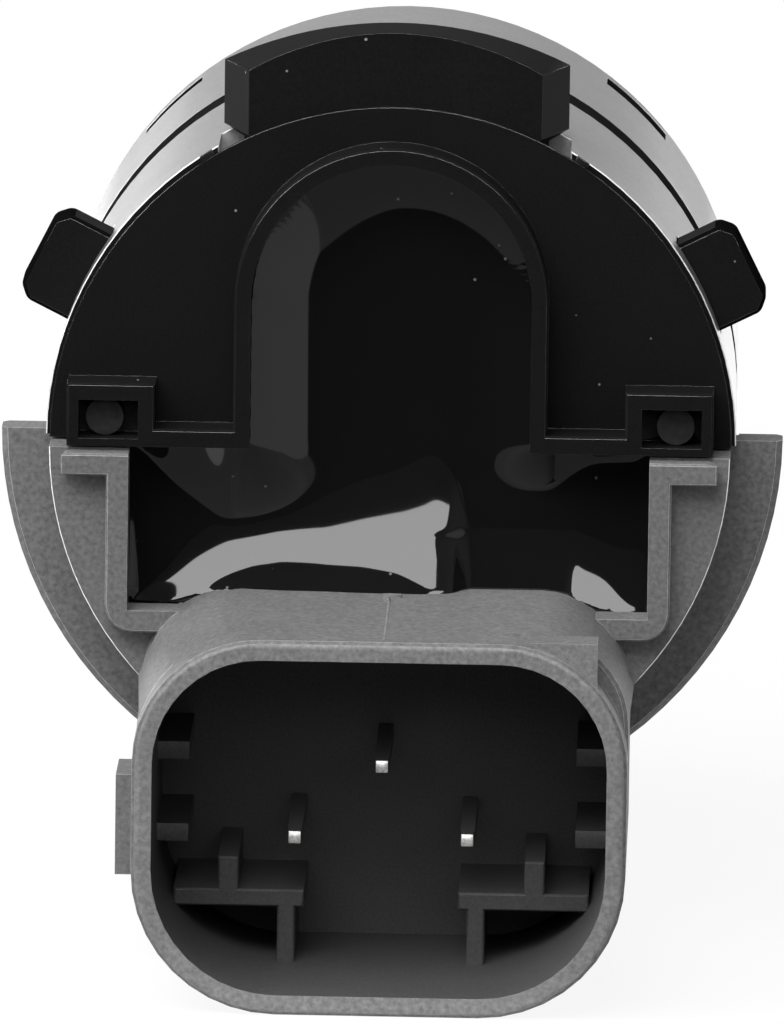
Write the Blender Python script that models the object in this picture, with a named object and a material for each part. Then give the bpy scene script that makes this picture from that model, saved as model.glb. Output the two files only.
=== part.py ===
"""Parking sensor: an ultrasonic distance sensor that snaps into a bumper from behind.

The sensor's axis runs along Y. The origin is the middle of the membrane, the sensing face looks
along +Y, and everything else lies behind it. A place along the axis is given as its depth behind
the sensing face. X is across the sensor and Z is up, with the connector below the axis.
"""
from math import acos, cos, pi, radians, sin, sqrt

import bmesh
import bpy
from mathutils import Matrix, Vector

MM = 0.001

# Clearances
FIT = 0.1 * MM            # between pieces that are seen to touch
INNER_FIT = 0.15 * MM     # between pieces inside the barrel
POTTING_FIT = 0.15 * MM   # round everything that the resin flows against

# Barrel: two silver bands with a dark seal between them
BARREL_RADIUS = 13.7 * MM
BARREL_WALL = 1.0 * MM
BAND_EDGE = 0.25 * MM     # small chamfer at the ends of the bands
CAP_FRONT_DEPTH = 0.4 * MM
CAP_NOSE_ROUND = 1.4 * MM
CAP_PLATE = 1.7 * MM
CAP_REAR_DEPTH = 12.6 * MM
SEAL_WIDTH = 0.8 * MM
SEAL_INSET = 0.45 * MM
SLEEVE_REAR_DEPTH = 25.4 * MM
SPIGOT_LENGTH = 2.9 * MM
SPIGOT_WALL = 0.9 * MM
BOARD_SHOULDER = 1.2 * MM

# Slot windows in the cap
SLOT_DEPTH = 3.4 * MM
SLOT_WIDTH = 0.9 * MM
SLOT_HALF_ANGLE = 8.5
SLOT_ANGLES = (45.0, 135.0, 225.0, 315.0)

# Transducer
CUP_RADIUS = 7.6 * MM
CUP_WALL = 1.1 * MM
CUP_LENGTH = 8.6 * MM
MEMBRANE = 0.7 * MM
CUP_EDGE = 0.3 * MM
RING_THICKNESS = 0.8 * MM
RING_FLANGE = 0.8 * MM
RING_FLANGE_REACH = 0.9 * MM
COLLAR_WALL = 0.9 * MM
COLLAR_LENGTH = 6.2 * MM
PIEZO_RADIUS = 3.6 * MM
PIEZO_THICKNESS = 0.5 * MM
PAD_THICKNESS = 4.6 * MM
CARRIER_PLATE = 1.2 * MM
LEAD_SPACING = 4.0 * MM
LEAD_RADIUS = 0.22 * MM
LEAD_HOLE_RADIUS = 0.45 * MM
LEAD_TAIL = 0.8 * MM

# Circuit board and its components
BOARD_THICKNESS = 1.0 * MM
CHIP_SIZE = (5.0 * MM, 1.5 * MM, 4.0 * MM)
CHIP_PLACE = (5.4 * MM, 4.4 * MM)
CHIP_LEGS = 4
CHIP_LEG = 0.4 * MM
CHIP_LEG_PITCH = 1.1 * MM
CHIP_LEG_REACH = 0.8 * MM
TRANSFORMER_SIZE = 5.6 * MM
TRANSFORMER_HEIGHT = 3.3 * MM
TRANSFORMER_FLANGE = 0.7 * MM
TRANSFORMER_PLACE = (-5.4 * MM, 4.2 * MM)
CAPACITOR_SIZE = (3.2 * MM, 1.6 * MM, 1.6 * MM)
CAPACITOR_PLACES = ((-5.6 * MM, -3.4 * MM), (5.6 * MM, -3.0 * MM), (5.6 * MM, -5.8 * MM))
RESISTOR_SIZE = (2.0 * MM, 0.6 * MM, 1.2 * MM)
RESISTOR_PLACES = ((-5.6 * MM, -6.0 * MM), (0.0, 7.4 * MM))
END_CAP_LENGTH = 0.4 * MM
END_CAP_STEP = 0.05 * MM

# Rear shell: the black upper half, with the arch of the potting well
RIM_RADIUS = 13.45 * MM
PLATE_DEPTH = 26.0 * MM
PLATE_THICKNESS = 0.5 * MM
SKIRT_WALL = 0.8 * MM
WALL_END_DEPTH = 27.8 * MM
LIP_THICKNESS = 0.65 * MM
ARCH_RADIUS = 6.2 * MM
ARCH_CENTRE_Z = 5.95 * MM
ARM_TOP_Z = 0.75 * MM
POCKET_INNER_X = 9.3 * MM
POCKET_OUTER_X = 12.78 * MM
POCKET_TOP_Z = 2.55 * MM
POCKET_OUTER_WALL = 0.45 * MM
POCKET_FOOT = 0.3 * MM
POCKET_FLOOR = 0.1 * MM
PEG_RADIUS = 0.75 * MM
PEG_X = 11.3 * MM
PEG_Z = 1.12 * MM
PEG_HEIGHT = 1.1 * MM
NIB_ANGLE = 33.0
NIB_SIZE = 0.55 * MM
NIB_INSET = 0.1 * MM
SPLIT_GAP = 0.1 * MM

# Top tab and ears, which locate and hold the sensor
TAB_HALF_WIDTH = 6.85 * MM
TAB_TOP_Z = 16.4 * MM
TAB_CROWN_RADIUS = 15.6 * MM
TAB_LENGTH = 2.7 * MM
TAB_LEAD_IN = 1.05 * MM
TAB_FOOT_Z = 11.75 * MM
TAB_CORNER = 0.8 * MM
TAB_CORNER_RISE = 0.5 * MM
EAR_ANGLE = 26.6
EAR_WIDTH = 3.85 * MM
EAR_STANDOFF = 2.15 * MM     # reach beyond the barrel
EAR_LENGTH = 1.75 * MM
EAR_CORNER = 0.5 * MM

# Connector housing: the grey lower half
HOUSING_RADIUS = 13.47 * MM
HOUSING_WALL = 1.1 * MM
FLOOR_DEPTH = 27.6 * MM
FLOOR_THICKNESS = 0.8 * MM
WING_STANDOFF = 1.85 * MM    # reach beyond the barrel
WING_REAR_DEPTH = 23.65 * MM
WING_THICKNESS = 1.5 * MM
WING_RECESS = 0.3 * MM       # shallow seat for the end of the sleeve
WELL_HALF_WIDTH = 10.3 * MM
WELL_BOTTOM_Z = -6.45 * MM
WELL_WALL = 0.87 * MM
WELL_WALL_HEIGHT = 0.8 * MM
WELL_CORNER = 1.1 * MM
LEG_REACH_X = 13.0 * MM
LEG_TOP_Z = -0.16 * MM

# Connector shroud
SHROUD_HALF_WIDTH = 9.68 * MM
SHROUD_TOP_Z = -5.7 * MM
SHROUD_HEIGHT = 14.95 * MM
SHROUD_BASE_CORNER = 3.6 * MM
MOUTH_TOP_CORNER = 5.0 * MM
MOUTH_BOTTOM_CORNER = 5.7 * MM
SHROUD_WALL = 0.79 * MM
SHROUD_FRONT_DEPTH = 24.8 * MM
SHROUD_FLOOR = 1.2 * MM
MOUTH_DEPTH = 37.6 * MM
MOUTH_EDGE = 0.15 * MM
SHOULDER_LEFT_X = -8.3 * MM
SHOULDER_RIGHT_X = 8.45 * MM
SHOULDER_FOOT = 2.6 * MM
SHOULDER_LENGTH = 1.6 * MM
LIP_LENGTH = 0.5 * MM
BASE_HALF_WIDTH = 5.7 * MM
BASE_DROP = 16.5 * MM
BASE_WALL = 0.9 * MM
SIDE_TAB_REACH = 10.64 * MM
SIDE_TAB_TOP_Z = -12.95 * MM
SIDE_TAB_HEIGHT = 4.05 * MM
SIDE_TAB_LENGTH = 3.0 * MM

# Keying ribs inside the shroud
RIB_END_DEPTH = 31.5 * MM
RIB_THICKNESS = 0.7 * MM
RIB_BAR_INNER_X = 3.05 * MM
RIB_BAR_OUTER_X = 8.2 * MM
RIB_BAR_Z = -17.3 * MM
RIB_POST_X = 3.75 * MM
RIB_STUB_X = 6.05 * MM
RIB_STUB_HEIGHT = 1.3 * MM
RIB_STUB_WIDTH = 0.8 * MM
SIDE_RIB_REACH = 1.25 * MM
SIDE_RIB_ZS = (-11.4 * MM, -14.7 * MM)

# Terminal pins
PIN_WIDTH = 0.6 * MM
PIN_SPACING = 3.4 * MM
PIN_TOP_Z = -11.6 * MM
PIN_LOWER_Z = -14.5 * MM
PIN_BOARD_Z = -9.0 * MM
PIN_TIP_DEPTH = 33.0 * MM
PIN_TAPER = 0.8 * MM
PIN_TIP_WIDTH = 0.26 * MM
PIN_TAIL = 0.5 * MM

# Potting resin
RESIN_EDGE_DEPTH = 27.35 * MM
MENISCUS_STEPS = ((0.3 * MM, 0.35 * MM), (0.4 * MM, 0.22 * MM), (0.45 * MM, 0.13 * MM))
POOL_OVERLAP = 0.5 * MM

# Facets
TURNED_SEGMENTS = 96
SMALL_SEGMENTS = 24
CORNER_SEGMENTS = 10
ARCH_SEGMENTS = 32
SHARP_ANGLE = radians(32)

# Values that follow from those above
SEAL_DEPTH = CAP_REAR_DEPTH
SLEEVE_FRONT_DEPTH = CAP_REAR_DEPTH + SEAL_WIDTH
BARREL_BORE = BARREL_RADIUS - BARREL_WALL
SPIGOT_RADIUS = BARREL_BORE - INNER_FIT
SPIGOT_BORE = SPIGOT_RADIUS - SPIGOT_WALL
SPIGOT_FRONT_DEPTH = SLEEVE_FRONT_DEPTH - SPIGOT_LENGTH
SHOULDER_DEPTH = SLEEVE_FRONT_DEPTH + BOARD_SHOULDER
SKIRT_RADIUS = BARREL_BORE - INNER_FIT
SKIRT_BORE = SKIRT_RADIUS - SKIRT_WALL
RING_BORE = CUP_RADIUS + FIT
RING_RADIUS = RING_BORE + RING_THICKNESS
COLLAR_BORE = RING_RADIUS + FIT
COLLAR_RADIUS = COLLAR_BORE + COLLAR_WALL
COLLAR_REAR_DEPTH = CAP_FRONT_DEPTH + CAP_PLATE + COLLAR_LENGTH
RING_REAR_DEPTH = COLLAR_REAR_DEPTH + FIT + RING_FLANGE
PIEZO_DEPTH = MEMBRANE + FIT
PAD_DEPTH = PIEZO_DEPTH + PIEZO_THICKNESS + FIT
PAD_RADIUS = CUP_RADIUS - CUP_WALL - FIT
PLUG_DEPTH = PAD_DEPTH + PAD_THICKNESS + FIT
CARRIER_DEPTH = RING_REAR_DEPTH + FIT
CARRIER_REAR_DEPTH = SPIGOT_FRONT_DEPTH - FIT
BOARD_DEPTH = SHOULDER_DEPTH + INNER_FIT
BOARD_REAR_DEPTH = BOARD_DEPTH + BOARD_THICKNESS
SKIRT_FRONT_DEPTH = BOARD_REAR_DEPTH + INNER_FIT
WING_RADIUS = BARREL_RADIUS + WING_STANDOFF
WING_BORE = BARREL_RADIUS + FIT
WING_FRONT_DEPTH = WING_REAR_DEPTH - WING_THICKNESS
SLEEVE_SEAT_DEPTH = WING_FRONT_DEPTH + WING_RECESS
BASE_POCKET_DEPTH = SLEEVE_SEAT_DEPTH + BASE_WALL
EAR_REACH = BARREL_RADIUS + EAR_STANDOFF
EAR_FRONT_DEPTH = WING_REAR_DEPTH - EAR_LENGTH
TAB_REAR_DEPTH = PLATE_DEPTH - PLATE_THICKNESS
TAB_FRONT_DEPTH = TAB_REAR_DEPTH - TAB_LENGTH
ARCH_BORE = ARCH_RADIUS - LIP_THICKNESS
SHROUD_BOTTOM_Z = SHROUD_TOP_Z - SHROUD_HEIGHT
CAVITY_DEPTH = SHROUD_FRONT_DEPTH + SHROUD_FLOOR
PIN_BEND_DEPTH = (BASE_POCKET_DEPTH + SHROUD_FRONT_DEPTH) / 2
PINS = {
    "terminal_pin_top": (0.0, PIN_TOP_Z),
    "terminal_pin_left": (-PIN_SPACING, PIN_LOWER_Z),
    "terminal_pin_right": (PIN_SPACING, PIN_LOWER_Z),
}
REACH = 3 * BARREL_RADIUS      # size of the cutters that trim half a piece away


def clear_scene():
    """Start from an empty file."""
    for item in list(bpy.data.objects):
        bpy.data.objects.remove(item, do_unlink=True)


def make_material(name, colour, roughness, metallic=0.0):
    """A plain surface with the piece's colour."""
    material = bpy.data.materials.new(name)
    material.use_nodes = True
    shader = material.node_tree.nodes["Principled BSDF"]
    shader.inputs["Base Color"].default_value = (*colour, 1.0)
    shader.inputs["Roughness"].default_value = roughness
    shader.inputs["Metallic"].default_value = metallic
    return material


def place(x, depth, z):
    """A point from its place across, its depth behind the sensing face and its height."""
    return Vector((x, -depth, z))


def finish(name, shape, material=None):
    """Turn a bmesh into an object whose faces point outwards."""
    bmesh.ops.recalc_face_normals(shape, faces=shape.faces)
    mesh = bpy.data.meshes.new(name)
    shape.to_mesh(mesh)
    shape.free()
    mesh.shade_smooth()
    mesh.set_sharp_from_angle(angle=SHARP_ANGLE)
    item = bpy.data.objects.new(name, mesh)
    bpy.context.scene.collection.objects.link(item)
    if material:
        mesh.materials.append(material)
    else:
        item.hide_render = True
        item.display_type = "WIRE"
    return item


def turned(profile, segments=TURNED_SEGMENTS, centre=(0.0, 0.0)):
    """Spin a closed profile of (radius, depth) points about an axis along Y."""
    shape = bmesh.new()
    verts = [shape.verts.new(place(radius, depth, 0.0)) for radius, depth in profile]
    edges = [shape.edges.new((verts[i - 1], verts[i])) for i in range(len(verts))]
    bmesh.ops.spin(shape, geom=verts + edges, cent=(0, 0, 0), axis=(0, 1, 0), angle=2 * pi,
                   steps=segments, use_merge=True)
    bmesh.ops.remove_doubles(shape, verts=shape.verts, dist=0.0001 * MM)
    on_axis = [edge for edge in shape.edges if not edge.link_faces]
    bmesh.ops.delete(shape, geom=on_axis, context="EDGES")
    bmesh.ops.translate(shape, verts=shape.verts, vec=place(centre[0], 0.0, centre[1]))
    return shape


def solid_disc(radius, front, rear, segments=SMALL_SEGMENTS, centre=(0.0, 0.0)):
    """A round disc or pin along the axis."""
    profile = [(0.0, front), (radius, front), (radius, rear), (0.0, rear)]
    return turned(profile, segments, centre)


def prism(outline, front, rear, front_edge=0.0, rear_edge=0.0):
    """Extrude an outline of (x, z) points along the axis, with chamfered ends if asked."""
    shape = bmesh.new()
    face = shape.faces.new([shape.verts.new(place(x, front, z)) for x, z in outline])
    grown = bmesh.ops.extrude_face_region(shape, geom=[face])
    moved = [part for part in grown["geom"] if isinstance(part, bmesh.types.BMVert)]
    rear_face = next(part for part in grown["geom"] if isinstance(part, bmesh.types.BMFace))
    bmesh.ops.translate(shape, verts=moved, vec=place(0.0, rear - front, 0.0))
    bmesh.ops.recalc_face_normals(shape, faces=shape.faces)
    for end, edge in ((face, front_edge), (rear_face, rear_edge)):
        if edge > 0.0:
            inwards = -end.normal * edge
            bmesh.ops.translate(shape, verts=end.verts, vec=inwards)
            bmesh.ops.inset_region(shape, faces=[end], thickness=edge, depth=edge,
                                   use_even_offset=True)
    return shape


def side_prism(outline, x_from, x_to):
    """Extrude an outline of (depth, z) points across the sensor."""
    shape = bmesh.new()
    face = shape.faces.new([shape.verts.new(place(x_from, depth, z)) for depth, z in outline])
    grown = bmesh.ops.extrude_face_region(shape, geom=[face])
    moved = [part for part in grown["geom"] if isinstance(part, bmesh.types.BMVert)]
    bmesh.ops.translate(shape, verts=moved, vec=(x_to - x_from, 0.0, 0.0))
    return shape


def block(x_from, x_to, front, rear, z_from, z_to):
    """A rectangular block."""
    outline = [(x_from, z_from), (x_to, z_from), (x_to, z_to), (x_from, z_to)]
    return prism(outline, front, rear)


def arc(centre, radius, start, end, steps):
    """Points along an arc, its angles in degrees from +X towards +Z."""
    turns = [radians(start + (end - start) * i / steps) for i in range(steps + 1)]
    return [(centre[0] + radius * cos(turn), centre[1] + radius * sin(turn)) for turn in turns]


def rounded_rectangle(half_width, top, bottom, top_corner, bottom_corner):
    """Outline with four round corners, going round anticlockwise from the right."""
    points = []
    for side, start in ((1, 0), (-1, 90)):
        centre = (side * (half_width - top_corner), top - top_corner)
        points += arc(centre, top_corner, start, start + 90, CORNER_SEGMENTS)
    for side, start in ((-1, 180), (1, 270)):
        centre = (side * (half_width - bottom_corner), bottom + bottom_corner)
        points += arc(centre, bottom_corner, start, start + 90, CORNER_SEGMENTS)
    return points


def mirrored(points):
    """The right half of an outline, from top to bottom, closed by its left half."""
    return points + [(-x, z) for x, z in reversed(points) if abs(x) > 0.001 * MM]


def combine(target, tool, operation):
    """Add, or cut away, another shape; the tool itself stays hidden."""
    modifier = target.modifiers.new(operation.lower(), "BOOLEAN")
    modifier.operation = operation
    modifier.object = tool


def add(target, shape):
    combine(target, finish(target.name + "_addition", shape), "UNION")


def cut(target, shape):
    combine(target, finish(target.name + "_cutter", shape), "DIFFERENCE")


def turned_about_axis(shape, angle):
    """Turn a shape about the sensor's axis, from +X towards +Z."""
    bmesh.ops.rotate(shape, verts=shape.verts, cent=(0, 0, 0),
                     matrix=Matrix.Rotation(-radians(angle), 3, "Y"))
    return shape


def ear_shape(clearance=0.0):
    """One ear, pointing along +X before it is turned to its angle."""
    half = EAR_WIDTH / 2 + clearance
    root = SKIRT_BORE + SKIRT_WALL / 2
    tip = EAR_REACH + clearance
    corner = EAR_CORNER
    outline = [(root, -half), (tip - corner, -half), (tip, -half + corner),
               (tip, half - corner), (tip - corner, half), (root, half)]
    edge = 0.0 if clearance else MOUTH_EDGE
    return prism(outline, EAR_FRONT_DEPTH - clearance, WING_REAR_DEPTH + clearance, 0.0, edge)


def tab_outline():
    """Rear view of the top tab: arched top, upright sides and cut lower corners."""
    half = TAB_HALF_WIDTH
    corner_angle = acos(half / TAB_CROWN_RADIUS) * 180 / pi
    crown = arc((0.0, TAB_TOP_Z - TAB_CROWN_RADIUS), TAB_CROWN_RADIUS, 90, corner_angle,
                CORNER_SEGMENTS)
    foot = [(half, TAB_FOOT_Z + TAB_CORNER_RISE), (half - TAB_CORNER, TAB_FOOT_Z)]
    root_radius = SKIRT_BORE + SKIRT_WALL / 2
    root_angle = acos((half - TAB_CORNER) / root_radius) * 180 / pi
    root = arc((0.0, 0.0), root_radius, root_angle, 90, CORNER_SEGMENTS)
    return mirrored(crown + foot + root)


def tab_shape():
    """The top tab, whose sides lead in towards its rear face."""
    shape = prism(tab_outline(), TAB_FRONT_DEPTH, TAB_REAR_DEPTH)
    narrowing = (TAB_HALF_WIDTH - TAB_LEAD_IN) / TAB_HALF_WIDTH
    for vert in shape.verts:
        if vert.co.y < -(TAB_FRONT_DEPTH + TAB_LENGTH / 2):
            vert.co.x *= narrowing
    return shape


def lip_outline():
    """Outer outline of the wall round the well's upper half, with the blocks for its pockets."""
    path = arc((0.0, ARCH_CENTRE_Z), ARCH_RADIUS, 90, 0, ARCH_SEGMENTS // 2)
    path += [(ARCH_RADIUS, ARM_TOP_Z), (POCKET_INNER_X, ARM_TOP_Z),
             (POCKET_INNER_X, POCKET_TOP_Z), (POCKET_OUTER_X, POCKET_TOP_Z),
             (POCKET_OUTER_X, -ARCH_RADIUS)]
    return mirrored(path)


def make_rear_shell(material):
    """Black upper half: face plate, skirt, top tab, two ears and the wall round the well."""
    plate_front = PLATE_DEPTH - PLATE_THICKNESS
    profile = [(SKIRT_BORE, SKIRT_FRONT_DEPTH), (SKIRT_RADIUS, SKIRT_FRONT_DEPTH),
               (SKIRT_RADIUS, plate_front), (RIM_RADIUS, plate_front),
               (RIM_RADIUS, PLATE_DEPTH - BAND_EDGE / 2), (RIM_RADIUS - BAND_EDGE / 2, PLATE_DEPTH),
               (0.0, PLATE_DEPTH), (0.0, plate_front), (SKIRT_BORE, plate_front)]
    shell = finish("rear_shell", turned(profile), material)
    add(shell, tab_shape())
    for angle in (EAR_ANGLE, 180 - EAR_ANGLE):
        add(shell, turned_about_axis(ear_shape(), angle))
    for angle in (90 - NIB_ANGLE, 90 + NIB_ANGLE):
        reach = RIM_RADIUS + NIB_SIZE / 2
        nib = block(RIM_RADIUS - NIB_SIZE, reach, plate_front + NIB_INSET,
                    PLATE_DEPTH - NIB_INSET, -NIB_SIZE / 2, NIB_SIZE / 2)
        add(shell, turned_about_axis(nib, angle))
    plate_middle = PLATE_DEPTH - PLATE_THICKNESS / 2
    lip_end = WALL_END_DEPTH
    add(shell, prism(lip_outline(), plate_middle, lip_end, 0.0, MOUTH_EDGE / 2))
    pocket_inner = POCKET_INNER_X + LIP_THICKNESS
    pocket_outer = POCKET_OUTER_X - POCKET_OUTER_WALL
    for side in (-1, 1):
        cut(shell, block(min(side * pocket_inner, side * pocket_outer),
                         max(side * pocket_inner, side * pocket_outer),
                         PLATE_DEPTH + POCKET_FLOOR, lip_end + MM,
                         SPLIT_GAP / 2 + POCKET_FOOT, POCKET_TOP_Z - LIP_THICKNESS))
        peg = solid_disc(PEG_RADIUS, plate_middle, PLATE_DEPTH + PEG_HEIGHT,
                         centre=(side * PEG_X, PEG_Z))
        add(shell, peg)
    well = arc((0.0, ARCH_CENTRE_Z), ARCH_BORE, 0, 180, ARCH_SEGMENTS)
    well += [(-ARCH_BORE, -REACH), (ARCH_BORE, -REACH)]
    cut(shell, prism(well, SKIRT_FRONT_DEPTH + SKIRT_WALL, lip_end + MM))
    cut(shell, block(-REACH, REACH, 0.0, 2 * WALL_END_DEPTH, -REACH, SPLIT_GAP / 2))
    return shell


def well_wall_outline():
    """Outline of the L-shaped walls that close the lower half of the well, right side first."""
    outer_x = WELL_HALF_WIDTH + WELL_WALL
    bottom = WELL_BOTTOM_Z - WELL_WALL
    leg_foot = LEG_TOP_Z - WELL_WALL
    path = [(0.0, LEG_TOP_Z), (LEG_REACH_X, LEG_TOP_Z), (LEG_REACH_X, leg_foot),
            (outer_x, leg_foot)]
    path += arc((outer_x - WELL_CORNER, bottom + WELL_CORNER), WELL_CORNER, 0, -90,
                CORNER_SEGMENTS // 2)
    path += [(0.0, bottom)]
    return mirrored(path)


def shroud_outline(top_corner, offset=0.0):
    """Rear view of the connector shroud, moved in or out by an offset."""
    return rounded_rectangle(SHROUD_HALF_WIDTH + offset, SHROUD_TOP_Z + offset,
                             SHROUD_BOTTOM_Z - offset, top_corner + offset,
                             MOUTH_BOTTOM_CORNER + offset)


def key_rib_shape(side):
    """A keying rib: a shelf with a post below it and a stub above it."""
    half = RIB_THICKNESS / 2
    stub_half = RIB_STUB_WIDTH / 2
    shelf_top = RIB_BAR_Z + half
    shelf_foot = RIB_BAR_Z - half
    floor = SHROUD_BOTTOM_Z + SHROUD_WALL / 2
    outline = [(RIB_BAR_INNER_X, shelf_top), (RIB_BAR_INNER_X, shelf_foot),
               (RIB_POST_X - half, shelf_foot), (RIB_POST_X - half, floor),
               (RIB_POST_X + half, floor), (RIB_POST_X + half, shelf_foot),
               (RIB_BAR_OUTER_X, shelf_foot), (RIB_BAR_OUTER_X, shelf_top),
               (RIB_STUB_X + stub_half, shelf_top), (RIB_STUB_X + stub_half, shelf_top + RIB_STUB_HEIGHT),
               (RIB_STUB_X - stub_half, shelf_top + RIB_STUB_HEIGHT), (RIB_STUB_X - stub_half, shelf_top)]
    outline = [(side * x, z) for x, z in outline]
    return prism(outline, CAVITY_DEPTH - SHROUD_FLOOR / 2, RIB_END_DEPTH, 0.0, MOUTH_EDGE / 2)


def make_connector_housing(material):
    """Grey lower half: floor, skirt, wings, the walls of the well and the connector shroud."""
    floor_front = FLOOR_DEPTH - FLOOR_THICKNESS
    bore = HOUSING_RADIUS - HOUSING_WALL
    profile = [(SKIRT_BORE, SKIRT_FRONT_DEPTH), (SKIRT_RADIUS, SKIRT_FRONT_DEPTH),
               (SKIRT_RADIUS, SLEEVE_SEAT_DEPTH), (WING_BORE, SLEEVE_SEAT_DEPTH),
               (WING_BORE, WING_FRONT_DEPTH), (WING_RADIUS - BAND_EDGE, WING_FRONT_DEPTH),
               (WING_RADIUS, WING_FRONT_DEPTH + BAND_EDGE), (WING_RADIUS, WING_REAR_DEPTH - BAND_EDGE),
               (WING_RADIUS - BAND_EDGE, WING_REAR_DEPTH), (HOUSING_RADIUS, WING_REAR_DEPTH),
               (HOUSING_RADIUS, FLOOR_DEPTH - BAND_EDGE), (HOUSING_RADIUS - BAND_EDGE, FLOOR_DEPTH),
               (0.0, FLOOR_DEPTH), (0.0, floor_front), (bore, floor_front),
               (bore, WING_REAR_DEPTH), (SKIRT_BORE, WING_REAR_DEPTH)]
    housing = finish("connector_housing", turned(profile), material)
    wall_rear = FLOOR_DEPTH + WELL_WALL_HEIGHT
    add(housing, prism(well_wall_outline(), FLOOR_DEPTH - FLOOR_THICKNESS / 2, wall_rear,
                       0.0, MOUTH_EDGE / 2))
    well = [(-WELL_HALF_WIDTH, WELL_BOTTOM_Z), (WELL_HALF_WIDTH, WELL_BOTTOM_Z),
            (WELL_HALF_WIDTH, REACH), (-WELL_HALF_WIDTH, REACH)]
    cut(housing, prism(well, floor_front - FLOOR_THICKNESS, wall_rear + MM))
    cut(housing, block(-REACH, REACH, 0.0, 2 * WALL_END_DEPTH, -SPLIT_GAP / 2, REACH))
    lip_front = MOUTH_DEPTH - LIP_LENGTH
    add(housing, prism(shroud_outline(SHROUD_BASE_CORNER), SHROUD_FRONT_DEPTH,
                       lip_front - SHOULDER_LENGTH, MOUTH_EDGE, MOUTH_EDGE))
    add(housing, prism(shroud_outline(MOUTH_TOP_CORNER), CAVITY_DEPTH, MOUTH_DEPTH,
                       MOUTH_EDGE, MOUTH_EDGE))
    add(housing, block(SHOULDER_LEFT_X, SHOULDER_RIGHT_X, lip_front - SHOULDER_LENGTH, lip_front,
                       SHROUD_TOP_Z - SHOULDER_FOOT, SHROUD_TOP_Z - MOUTH_EDGE))
    add(housing, block(-BASE_HALF_WIDTH, BASE_HALF_WIDTH, SLEEVE_SEAT_DEPTH,
                       SHROUD_FRONT_DEPTH + SHROUD_FLOOR / 2, -BASE_DROP, -SKIRT_RADIUS))
    add(housing, block(-SIDE_TAB_REACH, -SHROUD_HALF_WIDTH + SHROUD_WALL / 2,
                       SHROUD_FRONT_DEPTH + SHROUD_FLOOR,
                       SHROUD_FRONT_DEPTH + SHROUD_FLOOR + SIDE_TAB_LENGTH,
                       SIDE_TAB_TOP_Z - SIDE_TAB_HEIGHT, SIDE_TAB_TOP_Z))
    cut(housing, prism(shroud_outline(MOUTH_TOP_CORNER, -SHROUD_WALL), CAVITY_DEPTH,
                       MOUTH_DEPTH + MM))
    pocket_half = BASE_HALF_WIDTH - BASE_WALL
    cut(housing, block(-pocket_half, pocket_half, BASE_POCKET_DEPTH, SHROUD_FRONT_DEPTH,
                       -BASE_DROP + BASE_WALL, SHROUD_TOP_Z))
    for side in (-1, 1):
        add(housing, key_rib_shape(side))
        for z in SIDE_RIB_ZS:
            outer = side * (SHROUD_HALF_WIDTH - SHROUD_WALL / 2)
            inner = side * (SHROUD_HALF_WIDTH - SHROUD_WALL - SIDE_RIB_REACH)
            add(housing, block(min(inner, outer), max(inner, outer),
                               CAVITY_DEPTH - SHROUD_FLOOR / 2, RIB_END_DEPTH,
                               z - RIB_THICKNESS / 2, z + RIB_THICKNESS / 2))
    for x, z in PINS.values():
        half = PIN_WIDTH / 2 + FIT
        cut(housing, block(x - half, x + half, SHROUD_FRONT_DEPTH - FIT, CAVITY_DEPTH + FIT,
                           z - half, z + half))
    return housing


def make_barrel_sleeve(material):
    """Silver rear band: a sleeve with a spigot, ear windows and a notch for the top tab."""
    profile = [(SPIGOT_BORE, SPIGOT_FRONT_DEPTH), (SPIGOT_RADIUS, SPIGOT_FRONT_DEPTH),
               (SPIGOT_RADIUS, SLEEVE_FRONT_DEPTH), (BARREL_RADIUS - BAND_EDGE, SLEEVE_FRONT_DEPTH),
               (BARREL_RADIUS, SLEEVE_FRONT_DEPTH + BAND_EDGE), (BARREL_RADIUS, SLEEVE_REAR_DEPTH),
               (BARREL_BORE, SLEEVE_REAR_DEPTH), (BARREL_BORE, SHOULDER_DEPTH),
               (SPIGOT_BORE, SHOULDER_DEPTH)]
    sleeve = finish("barrel_sleeve", turned(profile), material)
    cut(sleeve, block(-REACH, REACH, SLEEVE_SEAT_DEPTH - FIT, REACH, -REACH, SPLIT_GAP / 2))
    notch_half = TAB_HALF_WIDTH + FIT
    cut(sleeve, block(-notch_half, notch_half, TAB_FRONT_DEPTH - FIT, REACH, 0.0, REACH))
    for angle in (EAR_ANGLE, 180 - EAR_ANGLE):
        cut(sleeve, turned_about_axis(ear_shape(FIT), angle))
    return sleeve


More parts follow.
